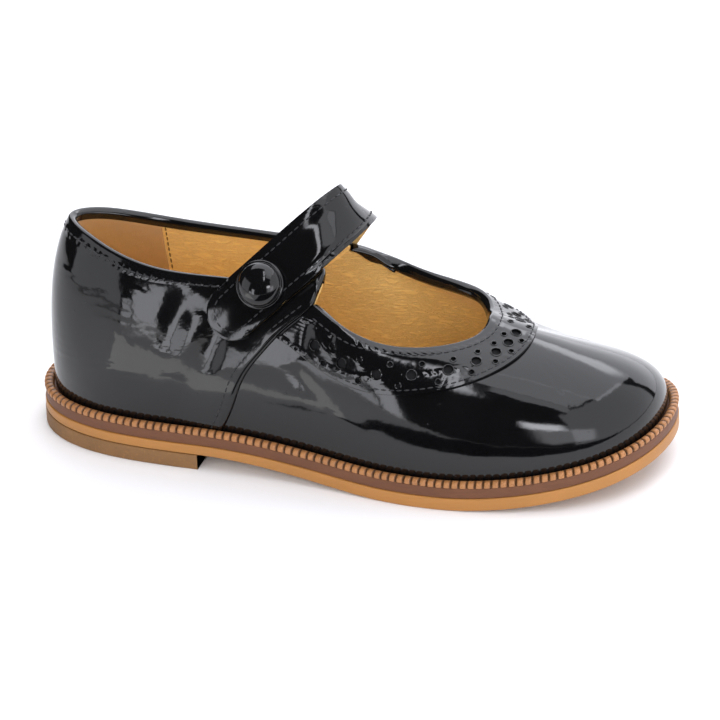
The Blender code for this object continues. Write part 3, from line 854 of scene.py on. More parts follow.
def welt_leather(name):
    """Tan leather, burnished on top, with painted shade darkening the notches between its ribs."""
    f = Finish(name)
    rib = (f.pattern("X") * (2 * math.pi / chosen("rib_pitch")) + math.pi / 2).sine()
    cloud = f.noise(6, 3.0, 0.6)
    grain = f.noise(0.5, 2.0)
    tone = f.mix(cloud, tint("welt", 0.7), tint("welt", 1.25))
    # painted shade: the notches between the ribs are mixed towards near-black
    tone = f.mix((rib + cloud * 0.5).step(-0.75, 0.2), tint("welt", 0.2), tone)
    return f.done(tone, grain * 0.2 + 0.36, grain * 0.05 + cloud * 0.1)


def board(name):
    """Dark stained board with fine lengthwise fibres."""
    f = Finish(name)
    fibre = f.noise(0.7, 3.0, 0.6, f.stretched((0.12, 0.12, 1.0)))
    cloud = f.noise(9, 2.0)
    tone = f.mix(fibre * 0.6 + cloud * 0.4, tint("midsole", 0.55), tint("midsole", 1.45))
    return f.done(tone, fibre * 0.2 + 0.5, fibre * 0.12)


def honey_rubber(name):
    """Honey-coloured sole rubber, buffed along its edge, with a fine ribbed tread."""
    f = Finish(name)
    buffed = f.noise(0.8, 3.0, 0.6, f.stretched((0.08, 0.08, 1.0)))
    cloud = f.noise(13, 2.0)
    turns = f.part(f.place, "X") * (2 * math.pi / (TREAD_PITCH * MM))
    rib = (turns + f.noise(30, 0.0) * 5.0).sine()
    facing_up = f.part(f.node("ShaderNodeNewGeometry", output="Normal"), "Z")
    below = 1.0 - facing_up.step(-0.95, -0.6)
    tone = f.mix(cloud * 0.6 + buffed * 0.4, tint("outsole", 0.82), tint("outsole", 1.14))
    return f.done(tone, buffed * 0.15 + 0.4, buffed * 0.07 + rib * below * 0.25)


def heel_rubber(name):
    """Brown rubber with light and dark crumbs in it."""
    f = Finish(name)
    crumb = f.noise(0.9, 3.0, 0.7)
    cloud = f.noise(8, 2.0)
    tone = f.mix(cloud, tint("heel", 0.82), tint("heel", 1.2))
    tone = f.mix(crumb.step(0.55, 0.75) * 0.5, tone, tint("heel", 1.9))
    tone = f.mix(crumb.step(0.42, 0.25) * 0.6, tone, tint("heel", 0.45))
    return f.done(tone, crumb * 0.2 + 0.55, crumb * 0.06)


def thread(name, colour="thread", dark=0.4, light=1.6, rough=0.45):
    """Waxed black thread, or thread in shades of another colour."""
    f = Finish(name)
    twist = f.noise(0.3, 1.0)
    tone = f.mix(twist, tint(colour, dark), tint(colour, light))
    return f.done(tone, twist * 0.2 + rough, twist * 0.05)


def tan_thread(name):
    """Brown thread of the lining's seams."""
    return thread(name, "suede", 0.25, 0.5, 0.5)


def black_cloth(name):
    """Matt black sheet behind the holes: painted shade that makes them dark."""
    f = Finish(name)
    weave = f.noise(0.4, 2.0)
    tone = f.mix(weave, tint("thread", 0.2), tint("thread", 0.8))
    return f.done(tone, weave * 0.1 + 0.85, weave * 0.05)


# ---- pieces of the sole ----

def sole_piece(name, bottom, top, inset=0.0, rounding=0.4):
    """Closed layer between two heights over the outline, with rounded edges."""
    arc = np.linspace(0, math.pi / 2, SOLE_EDGE)
    turn = [(1.0, (1 - math.sin(a)) * rounding, (1 - math.cos(a)) * rounding) for a in arc]
    fill = [(share, rounding, 0.0) for share in np.linspace(0, 1, SOLE_FILL, endpoint=False)]
    half = fill + turn
    rows = [(*row, bottom, 1) for row in half] + [(*row, top, -1) for row in reversed(half)]

    def place(u, v):
        angles = even_angles(u.shape[0], 360)
        lines = []
        for share, into, off, height, way in rows:
            edge = inset_outline(angles, inset + into)
            spine_x = np.clip(edge[:, 0], SPINE_END, LENGTH - SPINE_END)
            spine_y = table(SOLE_PLAN, "share", "middle", spine_x / LENGTH)
            spot = np.stack([spine_x, spine_y], -1) * (1 - share) + edge * share
            lines.append(np.column_stack([spot, height(spot[:, 0]) + way * off]))
        return np.stack(lines, 1)

    piece = sheet(name, SOLE_SIDES, len(rows) - 1, place)
    close_seams(piece)
    return piece


def make_heel_lift():
    top = HEEL_LIFT - LAYER_GAP
    piece = sole_piece("rubber_heel", np.zeros_like, lambda x: np.full_like(x, top))
    pick(piece)
    bpy.ops.object.mode_set(mode="EDIT")
    bpy.ops.mesh.select_all(action="SELECT")
    breast = placed((BREAST, 0.0, 0.0))
    bpy.ops.mesh.bisect(plane_co=breast, plane_no=(1, 0, 0), use_fill=True, clear_outer=True)
    bpy.ops.object.mode_set(mode="OBJECT")
    finish(piece, material("heel_rubber", heel_rubber), ["heel_lift"])


def make_outsole():
    piece = sole_piece("honey_outsole", tread, lambda x: outsole_top(x) - LAYER_GAP, inset=0.1)
    finish(piece, material("honey_rubber", honey_rubber), ["outsole"])


def make_midsole():
    piece = sole_piece("dark_midsole", outsole_top, lambda x: midsole_top(x) - LAYER_GAP,
                       inset=0.35, rounding=0.25)
    finish(piece, material("midsole_board", board), ["midsole"])


def make_insole():
    """Flat sock with a soft edge, laid on the midsole inside the linings."""
    inset = FEATHER + LINING_FACE + INSOLE_CLEAR
    piece = sole_piece("leather_sock", midsole_top, lambda x: midsole_top(x) + INSOLE,
                       inset=inset, rounding=0.8)
    finish(piece, material("tan_lining", lining_leather), ["insole"])


def make_welt():
    """Notched strip on the midsole's edge: a rounded rib, then a notch, all round."""
    pitch = chosen("rib_pitch")
    ribs = round(walk(outline(np.arange(0, 361)))[-1] / pitch)
    corners = WELT_CORNERS + WELT_CORNERS[:1]

    def place(u, v):
        angles = even_angles(u.shape[0], 360)
        across = (u[:, 0] * ribs % 1 - 0.5) * pitch
        notch = np.exp(-(across / NOTCH_WIDTH) ** 2)
        lines = []
        for corner in corners:
            into = corner.rib_in + (corner.notch_in - corner.rib_in) * notch
            up = corner.rib_up + (corner.notch_up - corner.rib_up) * notch
            edge = inset_outline(angles, into[:, None])
            lines.append(np.column_stack([edge, midsole_top(edge[:, 0]) + up]))
        return np.stack(lines, 1)

    piece = sheet("notched_welt", ribs * WELT_STEPS, len(corners) - 1, place, ribs * pitch)
    close_seams(piece)
    finish(piece, material("notched_leather", welt_leather), ["welt"])


# ---- pieces of the upper ----

def turned(column, foot, top, face, wall, down):
    """Points up the outer face from share `foot` to `top`, over the edge and down inside.
    `face` gives the face's lift at arrays of columns and shares."""
    share = foot[:, None] + (top - foot)[:, None] * np.linspace(0, 1, UP_ROWS + 1)
    wide = np.broadcast_to(column[:, None], share.shape)
    rows = [leather(wide, share, face(wide, share))[0]]
    wall = np.broadcast_to(wall, column.shape)
    lift = face(column, top)
    edge, normal = leather(column, top, lift)
    upward = edge - leather(column, top - SHARE_NUDGE, lift)[0]
    per_share = np.linalg.norm(upward, axis=-1) / SHARE_NUDGE
    for turn in np.linspace(0, math.pi, TURN_STEPS + 1)[1:]:
        over = normal * (math.cos(turn) - 1) + unit(upward) * math.sin(turn) * TURN_HEIGHT
        rows.append((edge + over * wall[:, None] / 2)[:, None])
    for step in np.linspace(0, 1, DOWN_ROWS + 1)[1:]:
        rows.append(leather(column, top - step * down / per_share, lift - wall)[0][:, None])
    return np.concatenate(rows, axis=1)


def turned_depth(wall, down):
    """Length of leather inside and over a turned edge, from its end to the topline."""
    high = wall / 2 * TURN_HEIGHT
    return down + math.pi * math.hypot(wall / 2, high) / math.sqrt(2)


def flap(down, share):
    """Length of a turned-down flap that is short at its ends and grows with `share`."""
    return down * (1 - FLAP_SHORTENED * (1 - smoothstep(share)))


def turned_sheet(name, column, foot, top, face, wall, down):
    rows = UP_ROWS + TURN_STEPS + DOWN_ROWS
    points = turned(column, foot, top, face, wall, down)
    return sheet(name, len(column) - 1, rows, lambda u, v: points)


def make_vamp():
    """Front of the shoe, from under one quarter round the toe to under the other."""
    def place(u, v):
        column = SEAM - VAMP_TUCK + u * (360 - 2 * SEAM + 2 * VAMP_TUCK)
        return leather(column, v * VAMP_TOP)[0]

    piece = sheet("patent_vamp", VAMP_COLUMNS, UP_ROWS, place)
    thicken(piece, SKIN)
    finish(piece, patent("vamp_patent", 0.55), ["upper"])


def ear_rise(column):
    """How far the quarter goes on above the topline, as a share of height."""
    rise = np.where(np.mod(column, 360) < 180, OUTER_EAR, INNER_EAR)
    rise = rise * smoothstep(1 - behind_seam(column) / (SEAM - EAR_BACK))
    corner = np.clip(1 - (behind_seam(column) + EDGE_ROLLS[-1].past) / EAR_CORNER, 0, 1)
    return rise * (1 - EAR_ROUND * (1 - np.sqrt(1 - corner ** 2)))


def quarter_face(column, share):
    """Lift of the quarters' face: their lap, its rolled front edge and the ears' tuck."""
    past = -behind_seam(column)
    drop = np.interp(past, [r.past for r in EDGE_ROLLS], [r.drop for r in EDGE_ROLLS])
    lap = quarter_lap(np.where(past > 0, SEAM, column), share)
    return lap - LAP * drop * smoothstep(share / LAP_SINK) - EAR_TUCK * np.maximum(share - 1, 0)


def make_quarters():
    """Both quarters in one piece round the heel, turned over at the collar."""
    rolled = np.array([r.past for r in EDGE_ROLLS])
    body = np.linspace(EAR_CORNER - SEAM, SEAM - EAR_CORNER, QUARTER_COLUMNS)
    corner = np.linspace(SEAM - EAR_CORNER, SEAM + rolled[0], EAR_COLUMNS)[1:-1]
    column = np.concatenate([-SEAM - rolled[::-1], -corner, body, corner, SEAM + rolled])
    column = np.sort(column)
    top = 1 + ear_rise(column)
    drop = np.interp(-behind_seam(column), rolled, [r.drop for r in EDGE_ROLLS])
    wall = TURNED_WALL - LAP * drop
    down = flap(TURNED_DOWN, behind_seam(column) / EAR_CORNER)
    piece = turned_sheet("patent_quarters", column, np.zeros_like(column), top,
                         quarter_face, wall, down)
    thicken(piece, SKIN)
    row = turned_depth(TURNED_WALL, TURNED_DOWN) + STITCH_ROW
    make = partial(patent, waves=1.0, puckers=0.035, rows=(row,))
    finish(piece, material("quarter_patent", make), ["upper"])


def make_lining():
    """Tan lining all round the inside, with a suede counter at the heel."""
    tan = material("tan_lining", lining_leather)
    # painted light: the quarters' lining is a lighter copy of the tan lining, for the light at the
    # heel
    pale = material("pale_lining", partial(lining_leather, share=QUARTER_LINING_PAINTED_LIGHT))
    face = LINING_THICK - LINING_FACE

    def place_quarter(u, v):
        column = (2 * u - 1) * SEAM
        share = LINING_FOOT + v * (LINING_TOP + ear_rise(column) - LINING_FOOT)
        tuck = EAR_TUCK * np.maximum(share - 1, 0)
        return leather(column, share, face - tuck)[0]

    def place_vamp(u, v):
        column = SEAM + u * (360 - 2 * SEAM)
        return leather(column, LINING_FOOT + v * (LINING_TOP - LINING_FOOT), face)[0]

    linings = (("quarter_lining", place_quarter, pale), ("vamp_lining", place_vamp, tan))
    for name, place, kind in linings:
        piece = sheet(name, LINING_COLUMNS // 2, UP_ROWS // 2, place)
        thicken(piece, LINING_THICK)
        finish(piece, kind, ["upper"])

    def place_suede(u, v):
        share = LINING_FOOT + v * (LINING_TOP - LINING_FOOT)
        column = (2 * u - 1) * (SUEDE_FOOT + (SUEDE_TOP - SUEDE_FOOT) * share)
        return leather(column, share, -LINING_FACE)[0]

    counter = sheet("suede_counter", LINING_COLUMNS // 3, UP_ROWS // 2, place_suede)
    thicken(counter, SUEDE_THICK, SUEDE_ROUNDING)
    finish(counter, material("counter_suede", suede))


# ---- the perforated trim ----

def hole_places(small):
    """Matrices on the trim's face, square to it, for the large or the small holes."""
    columns = list(BIG_HOLE_COLUMNS) + [360 - column for column in reversed(BIG_HOLE_COLUMNS)]
    holes = [(column, BIG_HOLE_DEPTH) for column in columns]
    if small:
        pairs = zip(columns, columns[1:])
        holes = [((a + b) / 2, depth) for a, b in pairs for depth in SMALL_HOLE_DEPTHS]
    places = []
    for column, depth in holes:
        point, normal = leather(column, share_below(column, depth), TRIM_FACE)
        turn = Vector(normal).to_track_quat("Z", "Y").to_matrix().to_4x4()
        places.append(Matrix.Translation(placed(point)) @ turn)
    return places


def make_trim():
    """Overlay round the throat, turned over its edge, with its holes cut through."""
    end = SEAM + TRIM_LEAD
    column = np.linspace(end, 360 - end, TRIM_COLUMNS + 1)
    measured = np.linspace(end, 360 - end, TRIM_MEASURES)
    foot = spline(measured, [share_below(c, TRIM_WIDTH) for c in measured], column)
    from_end = np.minimum(column - end, 360 - end - column)
    down = flap(THROAT_DOWN, from_end / FLAP_FADE)
    piece = turned_sheet("punched_trim", column, foot, np.ones_like(column),
                         lambda c, s: np.full(np.shape(s), TRIM_FACE),
                         TURNED_WALL + TRIM_FACE, down)
    thicken(piece, TRIM_THICK, TRIM_ROUNDING, segments=2)
    cutters = []
    holes = (("big_hole_lips", chosen("big_hole"), False),
             ("small_hole_lips", chosen("small_hole"), True))
    for name, radius, small in holes:
        bpy.ops.mesh.primitive_cylinder_add(vertices=HOLE_SIDES, radius=radius * MM,
                                            depth=2 * CUTTER_REACH * MM)
        cutters.append(repeat("cutter", bpy.context.object, hole_places(small)))
    for cutter in cutters:
        punch = piece.modifiers.new("holes", "BOOLEAN")
        punch.operation = "DIFFERENCE"
        punch.solver = "EXACT"
        punch.object = cutter
    apply_modifiers(piece)
    for cutter in cutters:
        bpy.data.objects.remove(cutter)
    start = turned_depth(TURNED_WALL + TRIM_FACE, THROAT_DOWN)
    rows = (start + STITCH_ROW, start + TRIM_ROW_DEPTH)
    make = partial(patent, waves=0.9, puckers=0.025, rows=rows)
    finish(piece, material("trim_patent", make), ["throat_trim"])
    for name, radius, small in holes:
        bpy.ops.mesh.primitive_torus_add(major_radius=radius * MM, minor_radius=HOLE_LIP * MM,
                                         major_segments=HOLE_SIDES, minor_segments=8)
        lips = repeat(name, bpy.context.object, hole_places(small))
        finish(lips, material("trim_patent", make))

    # painted shade: a matt black sheet under the trim darkens its holes
    shade_sheet_foot = [share_below(c, TRIM_WIDTH - SHADE_SHEET_INSET) for c in measured]

    def place(u, v):
        wide = end + SHADE_SHEET_INSET + u * (360 - 2 * end - 2 * SHADE_SHEET_INSET)
        low = spline(measured, shade_sheet_foot, wide)
        return leather(wide, low + (SHADE_SHEET_TOP - low) * v, SHADE_SHEET_FACE)[0]

    shade_sheet = sheet("trim_backing", TRIM_COLUMNS // 2, SHADE_SHEET_ROWS, place)
    thicken(shade_sheet, SHADE_SHEET_FACE * SHADE_SHEET_SHARE)
    finish(shade_sheet, material("black_cloth", black_cloth))


# ---- the strap and its button ----

def strap_seat(column, share):
    return on_upper(column, share, quarter_lap(column) + SEAT_GAP)


def resting(end, along, across):
    """Points of the strap's underside where it rests, placed by a side view."""
    slope = math.radians(end.slope)
    forward, up = math.cos(slope), math.sin(slope)
    target_x = end.x + along * forward + across * up
    target_z = end.z + along * up - across * forward
    target = np.stack([target_x, target_z], -1)
    column = np.full(np.shape(along + across), end.seam)
    share = np.ones(column.shape)
    for _ in range(SEAT_ROUNDS):
        here = strap_seat(column, share)
        by_column = (strap_seat(column + ANGLE_NUDGE, share) - here) / ANGLE_NUDGE
        by_share = (strap_seat(column, share + SHARE_NUDGE) - here) / SHARE_NUDGE
        slopes = np.stack([by_column, by_share], -1)[..., [0, 2], :]
        step = np.linalg.solve(slopes, (target - here[..., [0, 2]])[..., None])
        column += step[..., 0, 0]
        share += step[..., 1, 0]
    return strap_seat(column, share)


def facing(grid):
    """Unit directions square to a grid of points."""
    return unit(np.cross(np.gradient(grid, axis=1), np.gradient(grid, axis=0)))


def evened(grid, rounds):
    """Evens a grid of points or directions, in place, between the strap's two ends."""
    station = np.arange(len(grid))
    share = np.minimum(station, station[::-1]) / LAP_STATIONS - EVENED_FROM
    share = smoothstep(share / (1 - EVENED_FROM))[1:-1, None, None]
    for _ in range(rounds):
        middle = (grid[:-2] + 2 * grid[1:-1] + grid[2:]) / 4
        grid[1:-1] += (middle - grid[1:-1]) * share


def strap_underside(radius):
    """Points and directions under the strap, from its outer end to its inner one, for a
    strip of it that reaches `radius` to each side and has ends of that radius."""
    across = -radius * np.cos(np.linspace(0, math.pi, STRAP_LINES + 1))
    round_end = -np.sqrt(np.maximum(0, radius ** 2 - across ** 2))
    laps = []
    pulls = []
    for end in (OUTER_END, INNER_END):
        along = np.linspace(round_end, np.full(len(across), end.rests), LAP_STATIONS + 1)
        lap = resting(end, along, across)
        way = unit(lap[-1] - lap[-2])
        share = across / STRAP_WIDTH + 0.5
        pull = end.rear_pull + (end.front_pull - end.rear_pull) * share
        laps.append(lap)
        pulls.append(lap[-1] + way * pull[:, None])
    t = np.linspace(0, 1, ARCH_STATIONS + 1)[1:-1, None, None]
    s = 1 - t
    arch = s ** 3 * laps[0][-1] + 3 * s * s * t * pulls[0]
    arch = arch + 3 * s * t * t * pulls[1] + t ** 3 * laps[1][-1]
    under = np.concatenate([laps[0], arch, laps[1][::-1]])
    evened(under, STRAP_ROUNDS)
    out = facing(under)
    evened(out, STRAP_ROUNDS)
    return under, unit(out)


def make_strap():
    """Bar of patent leather, crowned and rounded at its edges, on a tan lining."""
    half = STRAP_WIDTH / 2
    under, out = strap_underside(half)
    span = -np.cos(np.linspace(0, math.pi, STRAP_LINES + 1))
    top = under + out * (STRAP_THICK - STRAP_CROWN * span ** 4)[:, None]
    points = top.swapaxes(0, 1)
    columns, lines = points.shape[0] - 1, points.shape[1] - 1
    piece = sheet("patent_strap", columns, lines, lambda u, v: points, STRAP_WIDTH)
    thicken(piece, STRAP_THICK - STRAP_LINING - STRAP_CROWN, STRAP_ROUNDING, segments=4)
    rows = (STRAP_ROW, STRAP_WIDTH - STRAP_ROW)
    make = partial(patent, waves=0.04, puckers=0.003, rows=rows, place="X", along="Y")
    finish(piece, material("strap_patent", make), ["strap"])
    under, out = strap_underside(half - STRAP_LINING_INSET)
    points = (under + out * STRAP_LINING).swapaxes(0, 1)
    lining = sheet("strap_lining", columns, lines, lambda u, v: points)
    thicken(lining, STRAP_LINING * STRAP_LINING_SHARE)
    finish(lining, material("tan_lining", lining_leather))


def make_button():
    """Covered button: a thin flange under a glossy dome, closed at both poles."""
    near = np.array([-1.0, 0.0, 1.0])
    patch = resting(OUTER_END, BUTTON_FROM_END + near[:, None], near[None, :])
    normal = facing(patch)[1, 1]
    centre = patch[1, 1] + normal * (STRAP_THICK + BUTTON_CLEAR)
    side = unit(np.cross(normal, (0, 0, 1)))
    ahead = np.cross(normal, side)

    def place(u, v):
        turn = -2 * math.pi * u
        rings = np.rint(v * (len(BUTTON_RINGS) - 1)).astype(int)
        radius = np.array([r.radius for r in BUTTON_RINGS])[rings]
        height = np.array([r.height for r in BUTTON_RINGS])[rings]
        flat = np.cos(turn)[..., None] * side + np.sin(turn)[..., None] * ahead
        return centre + flat * radius[..., None] + normal * height[..., None]

    piece = sheet("covered_button", BUTTON_SIDES, len(BUTTON_RINGS) - 1, place)
    close_seams(piece)
    finish(piece, material("button_patent", partial(patent, waves=0.1)), ["button"])


# ---- stitches ----

def sew(name, points, out, finish_name="black_thread", make=thread, slot="upper"):
    """Row of stitches along a line of points in millimetres, each a copy of one."""
    walked = walk(points)
    pitch = chosen("stitch_pitch")
    long = pitch * STITCH_SHARE
    wide = chosen("stitch_width")
    count = max(2, round(walked[-1] / pitch))
    at = (np.arange(count) + 0.5) / count * walked[-1]

    def read(values, where):
        return np.stack([np.interp(where, walked, values[:, k]) for k in range(3)], -1)

    ahead = unit(read(points, at + long / 2) - read(points, at - long / 2))
    normal = read(out, at)
    across = unit(np.cross(normal, ahead))
    normal = np.cross(ahead, across)
    places = []
    for spot, x, y, z in zip(placed(read(points, at)), ahead, across, normal):
        turn = Matrix((x * long / 2, y * wide / 2, z * wide * STITCH_RISE)).transposed()
        places.append(Matrix.Translation(spot) @ turn.to_4x4())
    bpy.ops.mesh.primitive_uv_sphere_add(segments=8, ring_count=6, radius=MM)
    row = repeat(name, bpy.context.object, places)
    return finish(row, material(finish_name, make))


def make_stitches():
    """Rows along the collar, both seams, the trim, the strap and the suede counter."""
    collar_end = EAR_BACK - COLLAR_ROW_END
    side = np.linspace(collar_end, -collar_end, COLLAR_ROW_POINTS)
    share = np.array([share_below(c, STITCH_ROW) for c in side])
    sew("collar_stitches", *leather(side, share, quarter_lap(side, share)))
    rise = np.linspace(*SEAM_ROW_ENDS, SEAM_ROW_POINTS)
    for name, column in (("outer_seam_stitches", SEAM - SEAM_ROW),
                         ("inner_seam_stitches", 360 - SEAM + SEAM_ROW)):
        sew(name, *leather(column, rise, quarter_lap(column, rise)))
    end = SEAM + TRIM_LEAD + TRIM_ROW_END
    throat = np.linspace(end, 360 - end, TRIM_ROW_POINTS)
    for name, depth in (("trim_edge_stitches", STITCH_ROW),
                        ("trim_foot_stitches", TRIM_ROW_DEPTH)):
        share = np.array([share_below(c, depth) for c in throat])
        sew(name, *leather(throat, share, TRIM_FACE), slot="throat_trim")
    under, out = strap_underside(STRAP_WIDTH / 2 - STRAP_ROW)
    loop = [np.concatenate([grid[::-1, 0], grid[0, 1:], grid[1:, -1], grid[-1, -2::-1]])
            for grid in (under + out * STRAP_THICK, out)]
    sew("strap_stitches", *loop, slot="strap")
    rise = np.linspace(*COUNTER_ROW_ENDS, COUNTER_ROW_POINTS)
    edge = SUEDE_FOOT + (SUEDE_TOP - SUEDE_FOOT) * rise + COUNTER_ROW
    for name, column in (("inner_counter_stitches", 360 - edge), ("outer_counter_stitches", edge)):
        points, out = leather(column, rise, -LINING_FACE)
        sew(name, points, -out, "brown_thread", tan_thread, "insole")


# ---- stage ----

def soft_box(box):
    """Area light that fades towards its own rim."""
    where = Vector((box.x, box.y, box.z))
    way = Vector((box.aim_x, box.aim_y, box.aim_z)) - where
    bpy.ops.object.light_add(type="AREA", location=where)
    light = bpy.context.object
    light.name = box.name
    light.rotation_euler = way.to_track_quat("-Z", "Y").to_euler()
    light.data.shape = "RECTANGLE"
    light.data.size = box.width
    light.data.size_y = box.height
    light.data.energy = box.radiance * math.pi * box.width * box.height
    light.data.color = BOX_COLOR if box.mirrored else FILL_COLOR
    light.visible_camera = False
    light.visible_glossy = box.mirrored
    lamp = Nodes(light.data)
    spot = lamp.node("ShaderNodeNewGeometry", output="Parametric")
    across, along = (lamp.maths("PINGPONG", lamp.part(spot, side), 0.5).step(0, box.rim)
                     for side in "XY")
    lamp.feed(lamp.tree.nodes["Emission"].inputs["Strength"], across * along)


def make_floor():
    bpy.ops.mesh.primitive_plane_add(size=FLOOR_SIZE)
    floor = bpy.context.object
    floor.name = "floor"
    f = Finish("pale_floor")
    cloud = f.noise(400, 2.0)
    tone = f.mix(cloud, tint("floor", 0.99), tint("floor"))
    floor.data.materials.append(f.done(tone, cloud * 0.05 + 0.85))


def lay_card(card):
    """Card on the floor that only the patent leather mirrors."""
    bpy.ops.mesh.primitive_plane_add(size=1, location=(card.x, card.y, CARD_HEIGHT))
    piece = bpy.context.object
    piece.name = card.name
    piece.scale = (card.width, card.length, 1)
    piece.rotation_euler.z = math.radians(card.turn)
    for kind in ("camera", "diffuse", "transmission", "shadow"):
        setattr(piece, "visible_" + kind, False)
    f = Finish(card.name)
    grey = f.mix(f.noise(20), (0.0, 0.0, 0.0), (0.01, 0.01, 0.01))
    made = f.done(grey, 1.0, Specular_IOR_Level=0, Emission_Color=(1, 1, 1),
                  Emission_Strength=card.glow)
    piece.data.materials.append(made)


def make_stage():
    bpy.context.scene.view_settings.view_transform = "Standard"
    bpy.ops.object.select_all(action="DESELECT")
    make_floor()
    for card in CARDS:
        lay_card(card)
    for box in SOFT_BOXES:
        soft_box(box)
    make_sky()


def make_sky():
    """Dark studio round the soft boxes, with a pale backdrop for the camera."""
    world = bpy.context.scene.world or bpy.data.worlds.new("studio")
    bpy.context.scene.world = world
    sky = Nodes(world)
    seen = sky.node("ShaderNodeLightPath", output="Is Camera Ray")
    shown = sky.mix(seen, (ROOM, ROOM, ROOM), (1, 1, 1))
    sky.feed(sky.tree.nodes["Background"].inputs["Color"], shown)


def make_camera():
    azimuth, elevation, roll = (math.radians(a) for a in (AZIMUTH, ELEVATION, ROLL))
    level = math.cos(elevation)
    ahead = Vector((-math.sin(azimuth) * level, math.cos(azimuth) * level, -math.sin(elevation)))
    right = Vector((math.cos(azimuth), math.sin(azimuth), 0))
    up = right.cross(ahead)
    turned_right = right * math.cos(roll) + up * math.sin(roll)
    turned_up = up * math.cos(roll) - right * math.sin(roll)
    bpy.ops.object.camera_add()
    camera = bpy.context.object
    camera.name = "camera"
    turn = Matrix((turned_right, turned_up, -ahead)).transposed().to_4x4()
    target = Vector(placed(TARGET))
    camera.matrix_world = Matrix.Translation(target - ahead * DISTANCE * MM) @ turn
    camera.data.lens = LENS
    camera.data.sensor_width = SENSOR
    camera.data.shift_x = SHIFT
    camera.data.clip_end = SIGHT
    bpy.context.scene.camera = camera


# ---- settings, operators and panel ----

def colour(name, description, default):
    return FloatVectorProperty(name=name, description=description, default=default,
                               subtype="COLOR", size=3, min=0.0, max=1.0)


def length(name, description, default):
    return FloatProperty(name=name, description=description, default=default * MM,
                         unit="LENGTH", min=0.1 * MM, precision=5)


class ShoeSizes(bpy.types.PropertyGroup):
    """Sizes of the shoe's small parts."""
    rib_pitch: length("Rib pitch", "Distance from one rib of the welt to the next", RIB_PITCH)
    stitch_pitch: length("Stitch pitch", "Distance from one stitch to the next", STITCH_PITCH)
    stitch_width: length("Stitch width", "Thickness of the sewing thread", STITCH_WIDTH)
    big_hole: length("Large hole", "Radius of the trim's large holes", BIG_HOLE)
    small_hole: length("Small hole", "Radius of the trim's small holes", SMALL_HOLE)


class ShoeColours(bpy.types.PropertyGroup):
    """Colours of the shoe's finishes and of the floor."""
    patent: colour("Patent leather", "Colour under the gloss", (0.003, 0.003, 0.0034))
    lining: colour("Lining", "Colour of the lining and the insole", (0.86, 0.55, 0.17))
    suede: colour("Counter suede", "Colour of the suede inside the heel", (0.52, 0.28, 0.070))
    welt: colour("Welt", "Colour of the notched strip", (0.36, 0.155, 0.052))
    midsole: colour("Midsole", "Colour of the stained board", (0.128, 0.046, 0.018))
    outsole: colour("Outsole", "Colour of the sole's rubber", (0.39, 0.17, 0.038))
    heel: colour("Heel", "Colour of the heel's rubber", (0.20, 0.10, 0.034))
    thread: colour("Thread", "Colour of the sewing thread", (0.014, 0.014, 0.016))
    floor: colour("Floor", "Colour of the studio floor", (0.89, 0.89, 0.89))


class SHOE_OT_sole(bpy.types.Operator):
    """Add the heel lift, outsole, midsole and insole"""
    bl_idname = "shoe.sole"
    bl_label = "Sole layers"

    def execute(self, context):
        make_heel_lift()
        make_outsole()
        make_midsole()
        make_insole()
        return {"FINISHED"}


class SHOE_OT_welt(bpy.types.Operator):
    """Add the notched welt round the upper's foot"""
    bl_idname = "shoe.welt"
    bl_label = "Welt"

    def execute(self, context):
        make_welt()
        return {"FINISHED"}


class SHOE_OT_upper(bpy.types.Operator):
    """Add the vamp and the two quarters"""
    bl_idname = "shoe.upper"
    bl_label = "Upper"

    def execute(self, context):
        make_vamp()
        make_quarters()
        return {"FINISHED"}


class SHOE_OT_lining(bpy.types.Operator):
    """Add the tan lining and the suede counter"""
    bl_idname = "shoe.lining"
    bl_label = "Lining"

    def execute(self, context):
        make_lining()
        return {"FINISHED"}


class SHOE_OT_trim(bpy.types.Operator):
    """Add the punched trim round the throat"""
    bl_idname = "shoe.trim"
    bl_label = "Punched trim"

    def execute(self, context):
        make_trim()
        return {"FINISHED"}


class SHOE_OT_strap(bpy.types.Operator):
    """Add the strap with its lining"""
    bl_idname = "shoe.strap"
    bl_label = "Strap"

    def execute(self, context):
        make_strap()
        return {"FINISHED"}


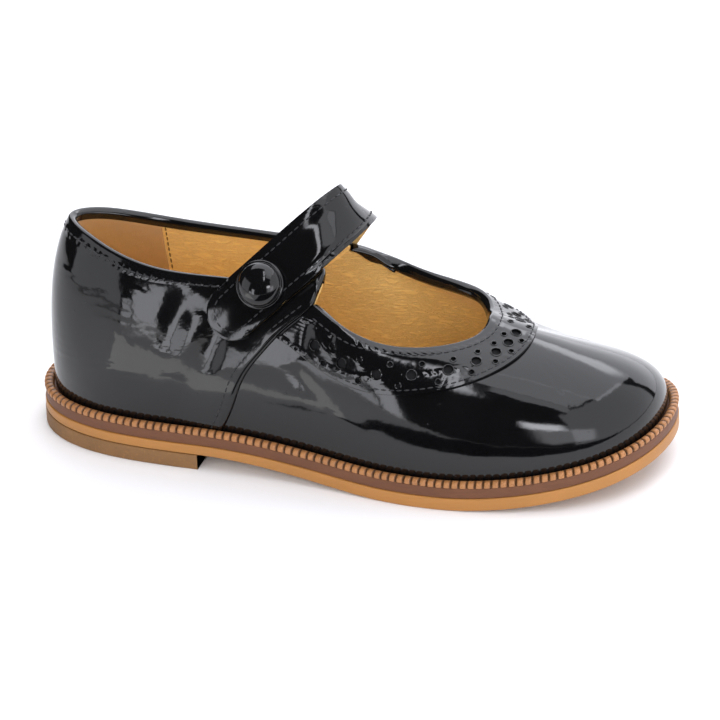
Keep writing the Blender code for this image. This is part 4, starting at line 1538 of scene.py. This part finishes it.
class SHOE_OT_button(bpy.types.Operator):
    """Add the covered button"""
    bl_idname = "shoe.button"
    bl_label = "Button"

    def execute(self, context):
        make_button()
        return {"FINISHED"}


class SHOE_OT_stitches(bpy.types.Operator):
    """Add all rows of stitches"""
    bl_idname = "shoe.stitches"
    bl_label = "Stitches"

    def execute(self, context):
        make_stitches()
        return {"FINISHED"}


class SHOE_OT_stage(bpy.types.Operator):
    """Add the floor, the lights and the camera"""
    bl_idname = "shoe.stage"
    bl_label = "Stage"

    def execute(self, context):
        make_stage()
        make_camera()
        return {"FINISHED"}


class SHOE_PT_pieces(bpy.types.Panel):
    """Lists the shoe's pieces with the sizes and colours that they are made from"""
    bl_label = "Bar shoe"
    bl_idname = "SHOE_PT_pieces"
    bl_space_type = "VIEW_3D"
    bl_region_type = "UI"
    bl_category = "Bar shoe"

    def draw(self, context):
        for settings in (context.scene.shoe_sizes, context.scene.shoe_colours):
            box = self.layout.box()
            for name in settings.__annotations__:
                box.prop(settings, name)
        for operator in OPERATORS:
            self.layout.operator(operator.bl_idname)


OPERATORS = (SHOE_OT_sole, SHOE_OT_welt, SHOE_OT_upper, SHOE_OT_lining, SHOE_OT_trim,
             SHOE_OT_strap, SHOE_OT_button, SHOE_OT_stitches, SHOE_OT_stage)
CLASSES = (ShoeSizes, ShoeColours, *OPERATORS, SHOE_PT_pieces)


def register():
    for cls in CLASSES:
        bpy.utils.register_class(cls)
    bpy.types.Scene.shoe_sizes = PointerProperty(type=ShoeSizes)
    bpy.types.Scene.shoe_colours = PointerProperty(type=ShoeColours)


def unregister():
    del bpy.types.Scene.shoe_colours
    del bpy.types.Scene.shoe_sizes
    for cls in reversed(CLASSES):
        bpy.utils.unregister_class(cls)


def main():
    register()
    bpy.ops.shoe.sole()
    bpy.ops.shoe.welt()
    bpy.ops.shoe.upper()
    bpy.ops.shoe.lining()
    bpy.ops.shoe.trim()
    bpy.ops.shoe.strap()
    bpy.ops.shoe.button()
    bpy.ops.shoe.stitches()
    bpy.ops.shoe.stage()


if __name__ == "__main__":
    main()
